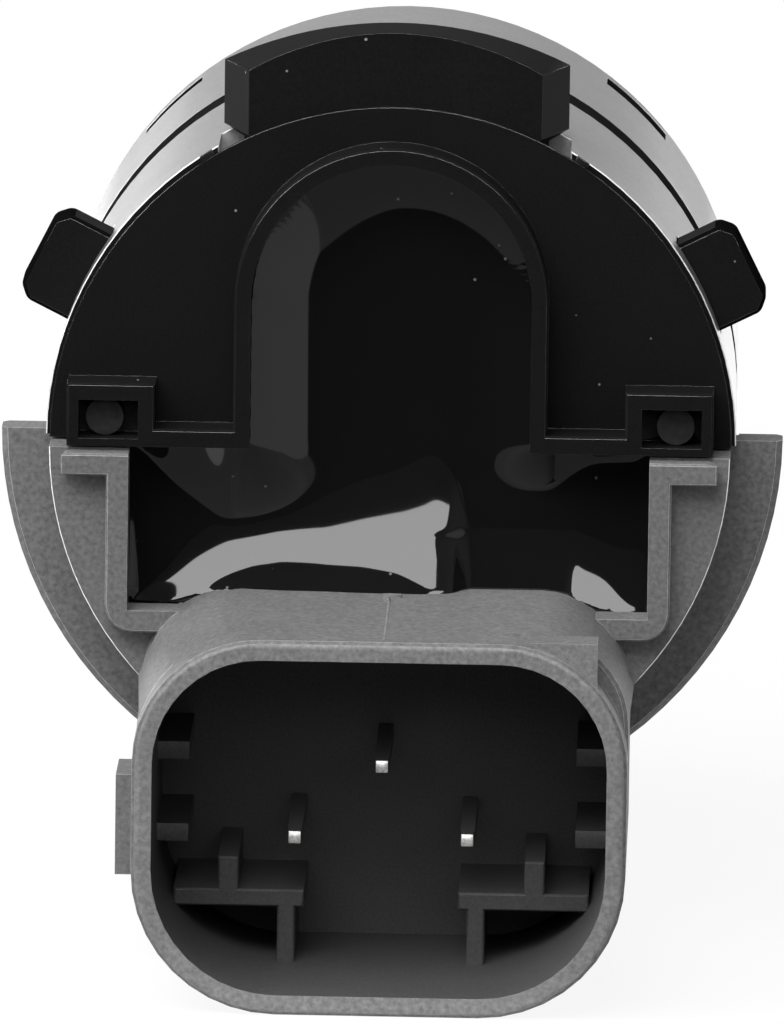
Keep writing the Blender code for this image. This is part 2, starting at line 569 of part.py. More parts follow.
def make_front_cap(material):
    """Silver front band with the collar that carries the transducer, and its slot windows."""
    rear = CAP_REAR_DEPTH
    nose = arc((BARREL_RADIUS - CAP_NOSE_ROUND, -CAP_FRONT_DEPTH - CAP_NOSE_ROUND),
               CAP_NOSE_ROUND, 90, 0, CORNER_SEGMENTS // 2)
    profile = [(COLLAR_BORE, CAP_FRONT_DEPTH)] + [(radius, -minus) for radius, minus in nose]
    profile += [(BARREL_RADIUS, rear - BAND_EDGE), (BARREL_RADIUS - BAND_EDGE, rear),
                (BARREL_BORE, rear), (BARREL_BORE, CAP_FRONT_DEPTH + CAP_PLATE),
                (COLLAR_RADIUS, CAP_FRONT_DEPTH + CAP_PLATE), (COLLAR_RADIUS, COLLAR_REAR_DEPTH),
                (COLLAR_BORE, COLLAR_REAR_DEPTH)]
    cap = finish("front_cap", turned(profile), material)
    for angle in SLOT_ANGLES:
        start = angle - SLOT_HALF_ANGLE
        end = angle + SLOT_HALF_ANGLE
        outline = arc((0.0, 0.0), BARREL_BORE - SKIRT_WALL, start, end, CORNER_SEGMENTS)
        outline += arc((0.0, 0.0), BARREL_RADIUS + MM, end, start, CORNER_SEGMENTS)
        cut(cap, prism(outline, SLOT_DEPTH - SLOT_WIDTH / 2, SLOT_DEPTH + SLOT_WIDTH / 2))
    return cap


def make_transducer(materials):
    """Aluminium cup with its rubber ring, piezo disc, damping pad, carrier and two leads."""
    wall = CUP_RADIUS - CUP_WALL
    profile = [(0.0, 0.0), (CUP_RADIUS - CUP_EDGE, 0.0), (CUP_RADIUS, CUP_EDGE),
               (CUP_RADIUS, CUP_LENGTH), (wall, CUP_LENGTH), (wall, MEMBRANE), (0.0, MEMBRANE)]
    finish("transducer_cup", turned(profile, TURNED_SEGMENTS // 2), materials["aluminium"])

    ring_front = CAP_FRONT_DEPTH + CUP_EDGE
    flange_front = COLLAR_REAR_DEPTH + FIT
    profile = [(RING_BORE, ring_front), (RING_RADIUS, ring_front), (RING_RADIUS, flange_front),
               (RING_RADIUS + RING_FLANGE_REACH, flange_front),
               (RING_RADIUS + RING_FLANGE_REACH, RING_REAR_DEPTH), (RING_BORE, RING_REAR_DEPTH)]
    finish("decoupling_ring", turned(profile, TURNED_SEGMENTS // 2), materials["rubber"])

    piezo = solid_disc(PIEZO_RADIUS, PIEZO_DEPTH, PIEZO_DEPTH + PIEZO_THICKNESS)
    finish("piezo_disc", piezo, materials["ceramic"])
    pad = finish("damping_pad", solid_disc(PAD_RADIUS, PAD_DEPTH, PAD_DEPTH + PAD_THICKNESS),
                 materials["foam"])

    profile = [(0.0, PLUG_DEPTH), (PAD_RADIUS, PLUG_DEPTH), (PAD_RADIUS, CARRIER_DEPTH),
               (SPIGOT_RADIUS, CARRIER_DEPTH), (SPIGOT_RADIUS, CARRIER_REAR_DEPTH),
               (0.0, CARRIER_REAR_DEPTH)]
    carrier = finish("transducer_carrier", turned(profile, TURNED_SEGMENTS // 2),
                     materials["inner_plastic"])

    lead_front = PIEZO_DEPTH + PIEZO_THICKNESS + FIT
    for name, side in (("transducer_lead_left", -1), ("transducer_lead_right", 1)):
        centre = (side * LEAD_SPACING / 2, 0.0)
        for piece in (pad, carrier):
            cut(piece, solid_disc(LEAD_HOLE_RADIUS, 0.0, REACH, centre=centre))
        finish(name, solid_disc(LEAD_RADIUS, lead_front, BOARD_REAR_DEPTH + LEAD_TAIL,
                                SMALL_SEGMENTS // 2, centre), materials["copper"])


def make_circuit_board(materials):
    """Round board clamped between the sleeve's shoulder and the skirts, and its components."""
    board = finish("circuit_board",
                   solid_disc(SKIRT_RADIUS, BOARD_DEPTH, BOARD_REAR_DEPTH, TURNED_SEGMENTS // 2),
                   materials["board"])
    for side in (-1, 1):
        cut(board, solid_disc(LEAD_HOLE_RADIUS, 0.0, REACH, centre=(side * LEAD_SPACING / 2, 0.0)))
    half = PIN_WIDTH / 2 + FIT
    for x, _ in PINS.values():
        cut(board, block(x - half, x + half, 0.0, REACH, PIN_BOARD_Z - half, PIN_BOARD_Z + half))

    seat = BOARD_DEPTH - FIT
    width, height, length = CHIP_SIZE
    x, z = CHIP_PLACE
    chip = finish("control_chip", block(x - width / 2, x + width / 2, seat - height,
                                        seat - CHIP_LEG / 2, z - length / 2, z + length / 2),
                  materials["chip"])
    for i in range(CHIP_LEGS):
        leg_x = x + (i - (CHIP_LEGS - 1) / 2) * CHIP_LEG_PITCH
        reach = length / 2 + CHIP_LEG_REACH
        add(chip, block(leg_x - CHIP_LEG / 2, leg_x + CHIP_LEG / 2, seat - CHIP_LEG, seat,
                        z - reach, z + reach))

    x, z = TRANSFORMER_PLACE
    half = TRANSFORMER_SIZE / 2
    core_radius = half - TRANSFORMER_FLANGE
    transformer = finish("pulse_transformer",
                         block(x - half, x + half, seat - TRANSFORMER_FLANGE, seat,
                               z - half, z + half), materials["ferrite"])
    front = seat - TRANSFORMER_HEIGHT
    add(transformer, solid_disc(core_radius, front + TRANSFORMER_FLANGE / 2,
                                seat - TRANSFORMER_FLANGE / 2, centre=(x, z)))
    add(transformer, solid_disc(half, front, front + TRANSFORMER_FLANGE, centre=(x, z)))

    for kind, size, places in (("capacitor", CAPACITOR_SIZE, CAPACITOR_PLACES),
                               ("resistor", RESISTOR_SIZE, RESISTOR_PLACES)):
        for letter, (x, z) in zip("abc", places):
            width, height, length = size
            item = finish(f"{kind}_{letter}",
                          block(x - width / 2, x + width / 2, seat - height, seat,
                                z - length / 2, z + length / 2), materials[kind])
            middle = width / 2 - END_CAP_LENGTH
            for low in (True, False):
                z_from = z - length if low else z + length / 2 - END_CAP_STEP
                z_to = z - length / 2 + END_CAP_STEP if low else z + length
                cut(item, block(x - middle, x + middle, seat - height - MM, seat + MM,
                                z_from, z_to))


def pin_outline(lower_z, clearance=0.0):
    """Side view of one pin: out of the board, down a step and back into the connector."""
    half = PIN_WIDTH / 2 + clearance
    tip_half = PIN_TIP_WIDTH / 2 + clearance
    start = BOARD_DEPTH - PIN_TAIL
    bend = PIN_BEND_DEPTH
    top = PIN_BOARD_Z
    return [(start, top + half), (bend + half, top + half), (bend + half, lower_z + half),
            (PIN_TIP_DEPTH - PIN_TAPER, lower_z + half), (PIN_TIP_DEPTH, lower_z + tip_half),
            (PIN_TIP_DEPTH, lower_z - tip_half), (PIN_TIP_DEPTH - PIN_TAPER, lower_z - half),
            (bend - half, lower_z - half), (bend - half, top - half), (start, top - half)]


def make_terminal_pins(material):
    """Three square pins, bent from strip, with tapered tips."""
    for name, (x, z) in PINS.items():
        shape = side_prism(pin_outline(z), x - PIN_WIDTH / 2, x + PIN_WIDTH / 2)
        for vert in shape.verts:
            if vert.co.y < -(PIN_TIP_DEPTH - PIN_TAPER / 2):
                vert.co.x = x + (vert.co.x - x) * PIN_TIP_WIDTH / PIN_WIDTH
        finish(name, shape, material)


def resin_outline():
    """The well seen from the rear, less the clearance to its walls and to the shroud."""
    gap = POTTING_FIT
    radius = ARCH_BORE - gap
    side = WELL_HALF_WIDTH - gap
    floor = WELL_BOTTOM_Z + gap
    top = SPLIT_GAP / 2 - gap
    corner = SHROUD_BASE_CORNER + gap
    corner_x = SHROUD_HALF_WIDTH - SHROUD_BASE_CORNER
    corner_z = SHROUD_TOP_Z - SHROUD_BASE_CORNER
    start = acos(sqrt(corner ** 2 - (floor - corner_z) ** 2) / corner) * 180 / pi
    path = arc((0.0, ARCH_CENTRE_Z), radius, 90, 0, ARCH_SEGMENTS // 2)
    path += [(radius, top), (side, top), (side, floor)]
    path += arc((corner_x, corner_z), corner, start, 90, CORNER_SEGMENTS // 2)
    return mirrored(path)


def make_potting_resin(material):
    """Resin behind the board: it fills the barrel and rises round the pins into the well."""
    gap = POTTING_FIT
    body_rear = SHROUD_FRONT_DEPTH - gap
    front = SKIRT_FRONT_DEPTH + gap
    body = solid_disc(SKIRT_BORE - gap, front, body_rear, TURNED_SEGMENTS // 2)
    resin = finish("potting_resin", body, material)

    pool = prism(resin_outline(), body_rear - POOL_OVERLAP, RESIN_EDGE_DEPTH)
    pool.faces.ensure_lookup_table()
    surface = min(pool.faces, key=lambda face: face.calc_center_median().y)
    for width, drop in MENISCUS_STEPS:
        bmesh.ops.inset_region(pool, faces=[surface], thickness=width, depth=-drop,
                               use_even_offset=True)
    add(resin, pool)

    pocket_half = BASE_HALF_WIDTH - BASE_WALL - gap
    add(resin, block(-pocket_half, pocket_half, BASE_POCKET_DEPTH + gap, body_rear,
                     -BASE_DROP + BASE_WALL + gap, PIN_BOARD_Z))
    for x, z in PINS.values():
        half = PIN_WIDTH / 2 + gap
        cut(resin, side_prism(pin_outline(z, gap), x - half, x + half))
    for side in (-1, 1):
        cut(resin, solid_disc(LEAD_HOLE_RADIUS, 0.0, BOARD_REAR_DEPTH + LEAD_TAIL + gap,
                              centre=(side * LEAD_SPACING / 2, 0.0)))
    return resin


def main():
    clear_scene()
    materials = {
        "silver": make_material("silver_paint", (0.55, 0.55, 0.55), 0.35, 0.6),
        "black": make_material("black_plastic", (0.012, 0.012, 0.012), 0.4),
        "grey": make_material("grey_plastic", (0.12, 0.12, 0.12), 0.6),
        "resin": make_material("black_resin", (0.006, 0.006, 0.006), 0.08),
        "rubber": make_material("seal_rubber", (0.02, 0.02, 0.02), 0.7),
        "aluminium": make_material("aluminium", (0.75, 0.75, 0.75), 0.3, 1.0),
        "ceramic": make_material("piezo_ceramic", (0.7, 0.66, 0.55), 0.5),
        "foam": make_material("damping_foam", (0.3, 0.3, 0.28), 0.9),
        "inner_plastic": make_material("natural_plastic", (0.6, 0.58, 0.52), 0.5),
        "copper": make_material("tinned_copper", (0.72, 0.45, 0.3), 0.3, 1.0),
        "board": make_material("board_laminate", (0.02, 0.16, 0.06), 0.45),
        "chip": make_material("chip_epoxy", (0.02, 0.02, 0.02), 0.5),
        "ferrite": make_material("ferrite", (0.06, 0.06, 0.065), 0.55),
        "capacitor": make_material("capacitor_ceramic", (0.42, 0.3, 0.18), 0.4),
        "resistor": make_material("resistor_ceramic", (0.03, 0.03, 0.03), 0.4),
        "tin": make_material("tinned_brass", (0.8, 0.78, 0.72), 0.25, 1.0),
    }
    make_front_cap(materials["silver"])
    make_barrel_sleeve(materials["silver"])
    seal = [(SPIGOT_RADIUS + FIT, SEAL_DEPTH + FIT), (BARREL_RADIUS - SEAL_INSET, SEAL_DEPTH + FIT),
            (BARREL_RADIUS - SEAL_INSET, SLEEVE_FRONT_DEPTH - FIT),
            (SPIGOT_RADIUS + FIT, SLEEVE_FRONT_DEPTH - FIT)]
    finish("seal_ring", turned(seal), materials["rubber"])
    make_rear_shell(materials["black"])
    make_connector_housing(materials["grey"])
    make_transducer(materials)
    make_circuit_board(materials)
    make_terminal_pins(materials["tin"])
    make_potting_resin(materials["resin"])


main()
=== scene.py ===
# %% [markdown]
# # A parking sensor, seen from its plug end
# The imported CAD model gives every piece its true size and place. This lesson dresses it with
# softened edges, cast resin, finishes and a small studio. Everything is in metres, the sensor looks
# along +Y and its plug socket is below. "Depth" is the distance behind the sensing face, so it
# grows along -Y.

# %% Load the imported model
import math

import bpy
import numpy as np
from mathutils import Matrix, Vector


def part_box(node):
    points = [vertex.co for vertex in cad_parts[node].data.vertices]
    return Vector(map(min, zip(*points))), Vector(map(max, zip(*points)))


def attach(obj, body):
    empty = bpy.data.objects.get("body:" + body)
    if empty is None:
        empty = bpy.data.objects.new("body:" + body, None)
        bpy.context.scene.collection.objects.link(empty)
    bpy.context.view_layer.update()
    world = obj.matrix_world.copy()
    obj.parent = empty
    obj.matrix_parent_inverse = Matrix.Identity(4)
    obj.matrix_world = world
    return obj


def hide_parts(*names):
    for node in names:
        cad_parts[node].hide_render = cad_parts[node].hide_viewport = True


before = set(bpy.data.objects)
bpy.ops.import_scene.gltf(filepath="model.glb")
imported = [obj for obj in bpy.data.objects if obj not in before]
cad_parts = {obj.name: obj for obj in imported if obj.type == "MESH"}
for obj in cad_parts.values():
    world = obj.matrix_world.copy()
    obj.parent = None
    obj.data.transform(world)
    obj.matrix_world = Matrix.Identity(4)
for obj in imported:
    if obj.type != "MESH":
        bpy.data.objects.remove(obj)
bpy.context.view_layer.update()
MM = 0.001
scene = bpy.context.scene
scene.view_settings.view_transform = "Standard"
print("packed pieces:", len(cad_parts))

# %% [markdown]
# ## The camera
# The photograph was taken from behind and a little above, through a long lens, so its lines hardly
# converge. The camera could be placed by eye, but its angles can be measured: they follow from the
# round rings of the barrel, which show as ellipses. A lens of 543 mm at 0.61 m then frames the
# sensor, and aiming close to the rim of the well saves any shift.

# %% Find the camera's directions
ELEVATION = math.radians(11.0)
AZIMUTH = math.radians(1.3)
ROLL = math.radians(-0.8)

backward = Vector((math.sin(AZIMUTH) * math.cos(ELEVATION),
                   -math.cos(AZIMUTH) * math.cos(ELEVATION), math.sin(ELEVATION)))
level = Vector((math.cos(AZIMUTH), math.sin(AZIMUTH), 0.0))
above = backward.cross(level)
right = level * math.cos(ROLL) - above * math.sin(ROLL)
up = level * math.sin(ROLL) + above * math.cos(ROLL)
print("the camera looks along", [round(-value, 3) for value in backward])

# %% Place the camera
DISTANCE = 0.610
LENS = 542.6
SENSOR_WIDTH = 36.0
FAR_LIMIT = 20.0
WELL_RIM = Vector((0.0, -27.8 * MM, 0.0))
AIM_RIGHT = 0.107
AIM_DOWN = 2.352

aim = WELL_RIM + right * AIM_RIGHT * MM - up * AIM_DOWN * MM
bpy.ops.object.camera_add(location=aim + backward * DISTANCE)
camera = bpy.context.object
camera.name = "studio_camera"
camera.rotation_euler = Matrix((right, up, backward)).transposed().to_euler()
camera.data.lens = LENS
camera.data.sensor_width = SENSOR_WIDTH
camera.data.clip_end = FAR_LIMIT
scene.camera = camera
print("camera at", [round(value, 4) for value in camera.location])

# %% [markdown]
# ## The soft panels
# A photographer lights glossy black and silver parts with large soft panels, because shiny
# surfaces show the panels themselves. One panel hangs above and one stands at each side. A fourth,
# over the camera, is there only for its picture in the glossy resin and along the edges. Two rim
# lights stand behind the part, outside the picture, and turn the rounded sides nearly white.

# %% Hang the soft panels
TARGET = Vector((0.0, -22 * MM, -3 * MM))


def soft_panel(name, place, width, height, power, lights=True, shines=True):
    """An area lamp that faces the sensor; it may light surfaces, show in gloss, or both."""
    bpy.ops.object.light_add(type="AREA", location=place)
    lamp = bpy.context.object
    lamp.name = name
    lamp.rotation_euler = (TARGET - lamp.location).to_track_quat("-Z", "Y").to_euler()
    lamp.data.shape = "RECTANGLE"
    lamp.data.size = width
    lamp.data.size_y = height
    lamp.data.energy = power
    lamp.visible_camera = False
    lamp.visible_diffuse = lights
    lamp.visible_glossy = shines
    print(name, "at", [round(value, 2) for value in place])


soft_panel("panel_above", (-0.12, -0.21, 0.32), 0.40, 0.26, 2.6, shines=False)
soft_panel("panel_left", (-0.40, -0.10, 0.16), 0.16, 0.26, 0.8, shines=False)
soft_panel("panel_right", (0.42, -0.02, 0.10), 0.14, 0.26, 0.15, shines=False)
soft_panel("panel_front", (-0.09, -0.34, 0.19), 0.74, 0.20, 3.6, lights=False)
soft_panel("rim_left", (-0.225, 0.38, 0.03), 0.15, 0.20, 0.65)
soft_panel("rim_right", (0.235, 0.38, 0.03), 0.15, 0.20, 0.35)

# %% [markdown]
# ## Helpers for shader nodes
# A material or a world is a tree of nodes, joined from socket to socket. The same few steps come
# up again and again, so each gets a short helper, and the trees below read like sums.

# %% Write the node helpers
def feed(tree, socket, term):
    """Give a socket a number, or link another node's output to it."""
    if isinstance(term, bpy.types.NodeSocket):
        tree.links.new(term, socket)
    else:
        socket.default_value = term


def maths(tree, operation, *terms):
    """A sum of numbers and outputs, done by a Math node."""
    node = tree.nodes.new("ShaderNodeMath")
    node.operation = operation
    for socket, term in zip(node.inputs, terms):
        feed(tree, socket, term)
    return node.outputs[0]


def stretched(tree, value, span, result, interpolation="LINEAR"):
    """A Map Range node, which takes a value from one span to the same share of another."""
    node = tree.nodes.new("ShaderNodeMapRange")
    node.interpolation_type = interpolation
    names = ("Value", "From Min", "From Max", "To Min", "To Max")
    for name, term in zip(names, (value, *span, *result)):
        feed(tree, node.inputs[name], term)
    return node.outputs[0]


def mixed(tree, factor, first, second):
    """A Mix Shader node: the first shader at factor 0, the second at factor 1."""
    node = tree.nodes.new("ShaderNodeMixShader")
    for socket, term in zip(node.inputs, (factor, first, second)):
        feed(tree, socket, term)
    return node.outputs[0]


def emptied(owner):
    """The node tree of a new material or world, with nothing in it."""
    owner.use_nodes = True
    owner.node_tree.nodes.clear()
    return owner.node_tree


print("node helpers ready")

# %% [markdown]
# ## The room
# The part stands in a dim room with a pale backdrop. Walls could be built, but the world can play
# the room: it glows most behind the part, less at its sides and least in front, so that the glossy
# black stays black. A glow is given as its axis, the span over which it rises, and its strength.

# %% Paint the room round the part
ROOM_GLOW = 0.06
GLOWS = (("Y", (-0.1, 0.6), 0.3), ("X", (0.25, 0.8), 0.2), ("X", (-0.25, -0.8), 0.1))

world = bpy.data.worlds.new("studio_room")
scene.world = world
room_tree = emptied(world)
direction = room_tree.nodes.new("ShaderNodeTexCoord")
axes = room_tree.nodes.new("ShaderNodeSeparateXYZ")
feed(room_tree, axes.inputs[0], direction.outputs["Generated"])
glow = ROOM_GLOW
for axis, span, strength in GLOWS:
    part = stretched(room_tree, axes.outputs[axis], span, (0.0, strength), "SMOOTHSTEP")
    glow = maths(room_tree, "ADD", part, glow)
room = room_tree.nodes.new("ShaderNodeBackground")
feed(room_tree, room.inputs["Strength"], glow)
print("glows in the room:", len(GLOWS))

# %% [markdown]
# Rays that come straight from the camera meet an even, pale backdrop instead. Light Path tells
# them from the rays that light the part.

# %% Show the camera a pale backdrop
backdrop = room_tree.nodes.new("ShaderNodeBackground")
rays = room_tree.nodes.new("ShaderNodeLightPath")
out = room_tree.nodes.new("ShaderNodeOutputWorld")
feed(room_tree, out.inputs["Surface"],
     mixed(room_tree, rays.outputs["Is Camera Ray"], room.outputs[0], backdrop.outputs[0]))
print("room tree:", len(room_tree.nodes), "nodes")

# %% [markdown]
# ## The floor
# The sensor stands on the flat underside of its socket. The floor glows white for the camera, and
# close to the part a tenth of it is plain pale paint, which keeps a trace of the soft shadow, so
# that the part doesn't float. Gloss sees it bright near the part and dimmer further off. The spans
# are distances in metres.

# %% Mix the floor's paint
PALE = (0.8, 0.8, 0.8, 1.0)
SHADOW_SPAN = (0.03, 0.12)
SHADOW_WHITE = (0.9, 1.0)
GLOSS_SPAN = (0.14, 0.24)
GLOSS_GLOW = (1.1, 0.35)


def floor_paint():
    """White light for the camera and for gloss, over pale paint for all other rays."""
    material = bpy.data.materials.new("pale_floor")
    tree = emptied(material)
    place = tree.nodes.new("ShaderNodeTexCoord")
    reach = tree.nodes.new("ShaderNodeVectorMath")
    reach.operation = "LENGTH"
    feed(tree, reach.inputs[0], place.outputs["Object"])
    rays = tree.nodes.new("ShaderNodeLightPath")
    seen = rays.outputs["Is Camera Ray"]
    share = maths(tree, "MULTIPLY",
                  stretched(tree, reach.outputs["Value"], SHADOW_SPAN, SHADOW_WHITE), seen)
    for kind in ("Is Glossy Ray", "Is Transmission Ray"):
        share = maths(tree, "MAXIMUM", share, rays.outputs[kind])
    brightness = tree.nodes.new("ShaderNodeMix")
    in_gloss = stretched(tree, reach.outputs["Value"], GLOSS_SPAN, GLOSS_GLOW)
    for name, term in (("Factor", seen), ("A", in_gloss), ("B", 1.0)):
        feed(tree, brightness.inputs[name], term)
    white = tree.nodes.new("ShaderNodeEmission")
    feed(tree, white.inputs["Strength"], brightness.outputs["Result"])
    paint = tree.nodes.new("ShaderNodeBsdfDiffuse")
    feed(tree, paint.inputs["Color"], PALE)
    out = tree.nodes.new("ShaderNodeOutputMaterial")
    feed(tree, out.inputs["Surface"], mixed(tree, share, paint.outputs[0], white.outputs[0]))
    return material


pale_floor = floor_paint()
print("floor paint:", len(pale_floor.node_tree.nodes), "nodes")

# %% Lay the floor
FLOOR_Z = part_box("connector_housing")[0][2] - 0.02 * MM
FLOOR_RADIUS = 4.0

bpy.ops.mesh.primitive_circle_add(vertices=64, radius=FLOOR_RADIUS, fill_type="NGON",
                                  location=(0.0, 0.0, FLOOR_Z))
floor = bpy.context.object
floor.name = "studio_floor"
floor.data.materials.append(pale_floor)
print("floor at z =", round(FLOOR_Z / MM, 2), "mm")

# %% [markdown]
# ## Cards on the floor
# Gloss shows whatever lies in front of it, and a pale floor there would turn the cast resin grey.
# Photographers lay black cards round such a part, outside the picture. Here a dim strip lies close
# in front as well, and a grey wedge to one side gives the sloping resin its dim band. The cards are
# seen only in reflections and cast no shadow. Each is given by its corners in metres, its tone and
# its height over the floor in millimetres.

# %% Lay the cards
def lay_card(name, corners, tone, lift):
    bpy.ops.mesh.primitive_circle_add(vertices=len(corners), radius=1.0, fill_type="NGON",
                                      location=(0.0, 0.0, FLOOR_Z + lift * MM))
    card = bpy.context.object
    card.name = name
    for vert, (x, y) in zip(card.data.vertices, corners):
        vert.co = (x, y, 0.0)
    card.visible_camera = False
    card.visible_shadow = False
    material = bpy.data.materials.new(name)
    material.use_nodes = True
    shader = material.node_tree.nodes["Principled BSDF"]
    shader.inputs["Base Color"].default_value = (tone, tone, tone, 1.0)
    shader.inputs["Roughness"].default_value = 0.9
    shader.inputs["Specular IOR Level"].default_value = 0.0
    card.data.materials.append(material)
    print(name, "with", len(corners), "corners")


lay_card("card_black_front", [(-2.0, -0.09), (-2.0, -3.4), (2.0, -3.4), (2.0, -0.09)], 0.01, 0.05)
lay_card("card_black_left", [(-0.05, 0.03), (-0.95, 0.03), (-0.95, -0.04), (-0.05, -0.04)],
         0.01, 0.05)
lay_card("card_black_right", [(1.0, 0.03), (0.06, 0.03), (0.06, -0.05), (1.0, -0.05)], 0.01, 0.05)
lay_card("card_dim", [(0.06, -0.04), (-0.95, -0.04), (-0.95, -0.09), (0.06, -0.09)], 0.2, 0.06)
lay_card("card_grey", [(1.0, -0.05), (0.02, -0.05), (0.028, -0.09), (0.07, -0.16), (0.50, -1.0),
                       (1.0, -1.0)], 0.45, 0.1)

# %% [markdown]
# ## The grain that all finishes share
# Plastic, paint and metal all have a fine grain that changes their tone and relief a little. It
# could be built into each material, but one node group serves them all, each with its own size,
# contrast and depth. It also puts out a mask of sparse specks, for the dust that shows on black.

# %% Open the grain group
GRAIN_INPUTS = (("Scale", 8000.0), ("Contrast", 0.1), ("Relief", 0.004 * MM),
                ("Cloud Scale", 300.0), ("Cloud Contrast", 0.05), ("Dust", 0.0))
GRAIN_OUTPUTS = (("Tone", "NodeSocketFloat"), ("Specks", "NodeSocketFloat"),
                 ("Normal", "NodeSocketVector"))

grain = bpy.data.node_groups.new("moulded grain", "ShaderNodeTree")
for name, value in GRAIN_INPUTS:
    socket = grain.interface.new_socket(name=name, in_out="INPUT", socket_type="NodeSocketFloat")
    socket.default_value = value
for name, kind in GRAIN_OUTPUTS:
    grain.interface.new_socket(name=name, in_out="OUTPUT", socket_type=kind)
entry = grain.nodes.new("NodeGroupInput")
result = grain.nodes.new("NodeGroupOutput")
place = grain.nodes.new("ShaderNodeTexCoord")
print("grain group:", len(GRAIN_INPUTS), "inputs,", len(GRAIN_OUTPUTS), "outputs")

# %% [markdown]
# Two noises make the grain, a fine one and a broad one that clouds the tone. They read Object
# coordinates in metres, so a grain of 0.1 mm has a scale near 10 000. Noise stays close to its
# middle, so its swing is made four times as wide.

# %% Make the tone and the relief
NOISE_MIDDLE = 0.5
NOISE_ROUGHNESS = 0.6
SWING = 4.0


def noise_swing(scale, contrast, detail):
    """A noise in the grain group: its height, and how far it swings about its middle."""
    texture = grain.nodes.new("ShaderNodeTexNoise")
    feed(grain, texture.inputs["Detail"], detail)
    feed(grain, texture.inputs["Roughness"], NOISE_ROUGHNESS)
    feed(grain, texture.inputs["Vector"], place.outputs["Object"])
    feed(grain, texture.inputs["Scale"], entry.outputs[scale])
    centred = maths(grain, "SUBTRACT", texture.outputs["Fac"], NOISE_MIDDLE)
    return texture.outputs["Fac"], maths(grain, "MULTIPLY", centred, entry.outputs[contrast])


fine_height, fine_swing = noise_swing("Scale", "Contrast", 3.0)
cloud_swing = noise_swing("Cloud Scale", "Cloud Contrast", 2.0)[1]
tone = maths(grain, "MULTIPLY_ADD", maths(grain, "ADD", fine_swing, cloud_swing), SWING, 1.0)
feed(grain, result.inputs["Tone"], tone)
bump = grain.nodes.new("ShaderNodeBump")
feed(grain, bump.inputs["Distance"], entry.outputs["Relief"])
feed(grain, bump.inputs["Height"], fine_height)
feed(grain, result.inputs["Normal"], bump.outputs[0])
print("grain group:", len(grain.nodes), "nodes")

# %% [markdown]
# The specks are the middles of Voronoi cells about 1.4 mm wide. Only points very close to a cell's
# middle count, so each speck is about a tenth of a millimetre across.

# %% Scatter the specks of dust
DUST_SCALE = 700.0
SPECK_EDGE = (0.05, 0.03)

spots = grain.nodes.new("ShaderNodeTexVoronoi")
feed(grain, spots.inputs["Scale"], DUST_SCALE)
feed(grain, spots.inputs["Vector"], place.outputs["Object"])
speck = stretched(grain, spots.outputs["Distance"], SPECK_EDGE, (0.0, entry.outputs["Dust"]))
feed(grain, result.inputs["Specks"], speck)
print("cells of dust:", round(1 / DUST_SCALE / MM, 1), "mm")

# %% [markdown]
# ## One maker for all finishes
# Each finish is a Principled surface whose colour is scaled by the grain's tone and whose normal
# comes from its relief, with dust on top where the finish has some. What is the same all over, such
# as roughness, is set on the shader itself.

# %% Make a grained finish
def grained_finish(name, colour, roughness, metallic=0.0, size=8000.0, contrast=0.1,
                   relief=0.004, shine=0.5, dust=0.0, more={}):
    """A surface with the shared grain; a colour may be one number, for a plain grey."""
    material = bpy.data.materials.new(name)
    material.use_nodes = True
    tree = material.node_tree
    shader = tree.nodes["Principled BSDF"]
    plain = {"Roughness": roughness, "Metallic": metallic, "Specular IOR Level": shine}
    for socket, value in {**plain, **more}.items():
        shader.inputs[socket].default_value = value
    fine = tree.nodes.new("ShaderNodeGroup")
    fine.node_tree = grain
    for socket, value in (("Scale", size), ("Contrast", contrast), ("Relief", relief * MM),
                          ("Dust", dust)):
        fine.inputs[socket].default_value = value
    tint = tree.nodes.new("ShaderNodeVectorMath")
    tint.operation = "SCALE"
    tint.inputs[0].default_value = colour if isinstance(colour, tuple) else (colour,) * 3
    feed(tree, tint.inputs["Scale"], fine.outputs["Tone"])
    feed(tree, shader.inputs["Normal"], fine.outputs["Normal"])
    coloured = tint.outputs[0]
    if dust:
        dusty = tree.nodes.new("ShaderNodeVectorMath")
        feed(tree, dusty.inputs[0], coloured)
        feed(tree, dusty.inputs[1], fine.outputs["Specks"])
        coloured = dusty.outputs[0]
    feed(tree, shader.inputs["Base Color"], coloured)
    print("finish", name)
    return material


# %% [markdown]
# ## Silver paint
# The two bands are sprayed in a car's silver: fine flakes under a clear coat. Flakes could be
# scattered one by one, but at this size they only blur, so the paint is half metallic, with a
# glossy coat over it. On the sleeve's rounded edges a much paler silver is a painted highlight.

# %% Mix the silver paint
silver = grained_finish("silver_paint", 0.48, 0.3, 0.5, 5000.0, 0.14, 0.004,
                        more={"Coat Weight": 0.8, "Coat Roughness": 0.08})
# A much paler silver on the sleeve's rounded edges: a painted highlight.
silver_painted_highlight = grained_finish("silver_rounded_edge_highlight", 0.85, 0.3, 0.2, 5000.0, 0.1, 0.002)

# %% [markdown]
# ## Black plastic
# The rear shell is moulded in matt black with a little dust on it. Its rounded edges are smoother
# than its faces and draw thin grey lines, so they get a glossier finish, with a slightly paler
# black as a painted highlight. The sides and tops of the ears get a darker, dull black as painted
# shade, and inside the corner pockets the plastic is coarser, with a paler black as painted light.

# %% Mix the black plastics
black = grained_finish("black_plastic", 0.009, 0.45, 0.0, 9000.0, 0.3, 0.003, shine=0.02, dust=0.3)
# The edges' black is glossier, and a little paler as a painted highlight.
black_gloss_edge_highlight = grained_finish("black_rounded_edge_highlight", 0.03, 0.16, 0.0, 5000.0, 0.4, 0.003, shine=1.0,
                            more={"IOR": 1.9})
# A darker, duller black for the ears' sides and tops: painted shade.
black_painted_shade = grained_finish("black_ear_painted_shade", 0.004, 0.6, 0.0, 9000.0, 0.3, 0.003, shine=0.0)
# A coarser black for the pockets, paler as painted light.
black_painted_light = grained_finish("black_pegs_painted_light", 0.02, 0.5, 0.0, 2500.0, 0.6, 0.01, shine=0.1)
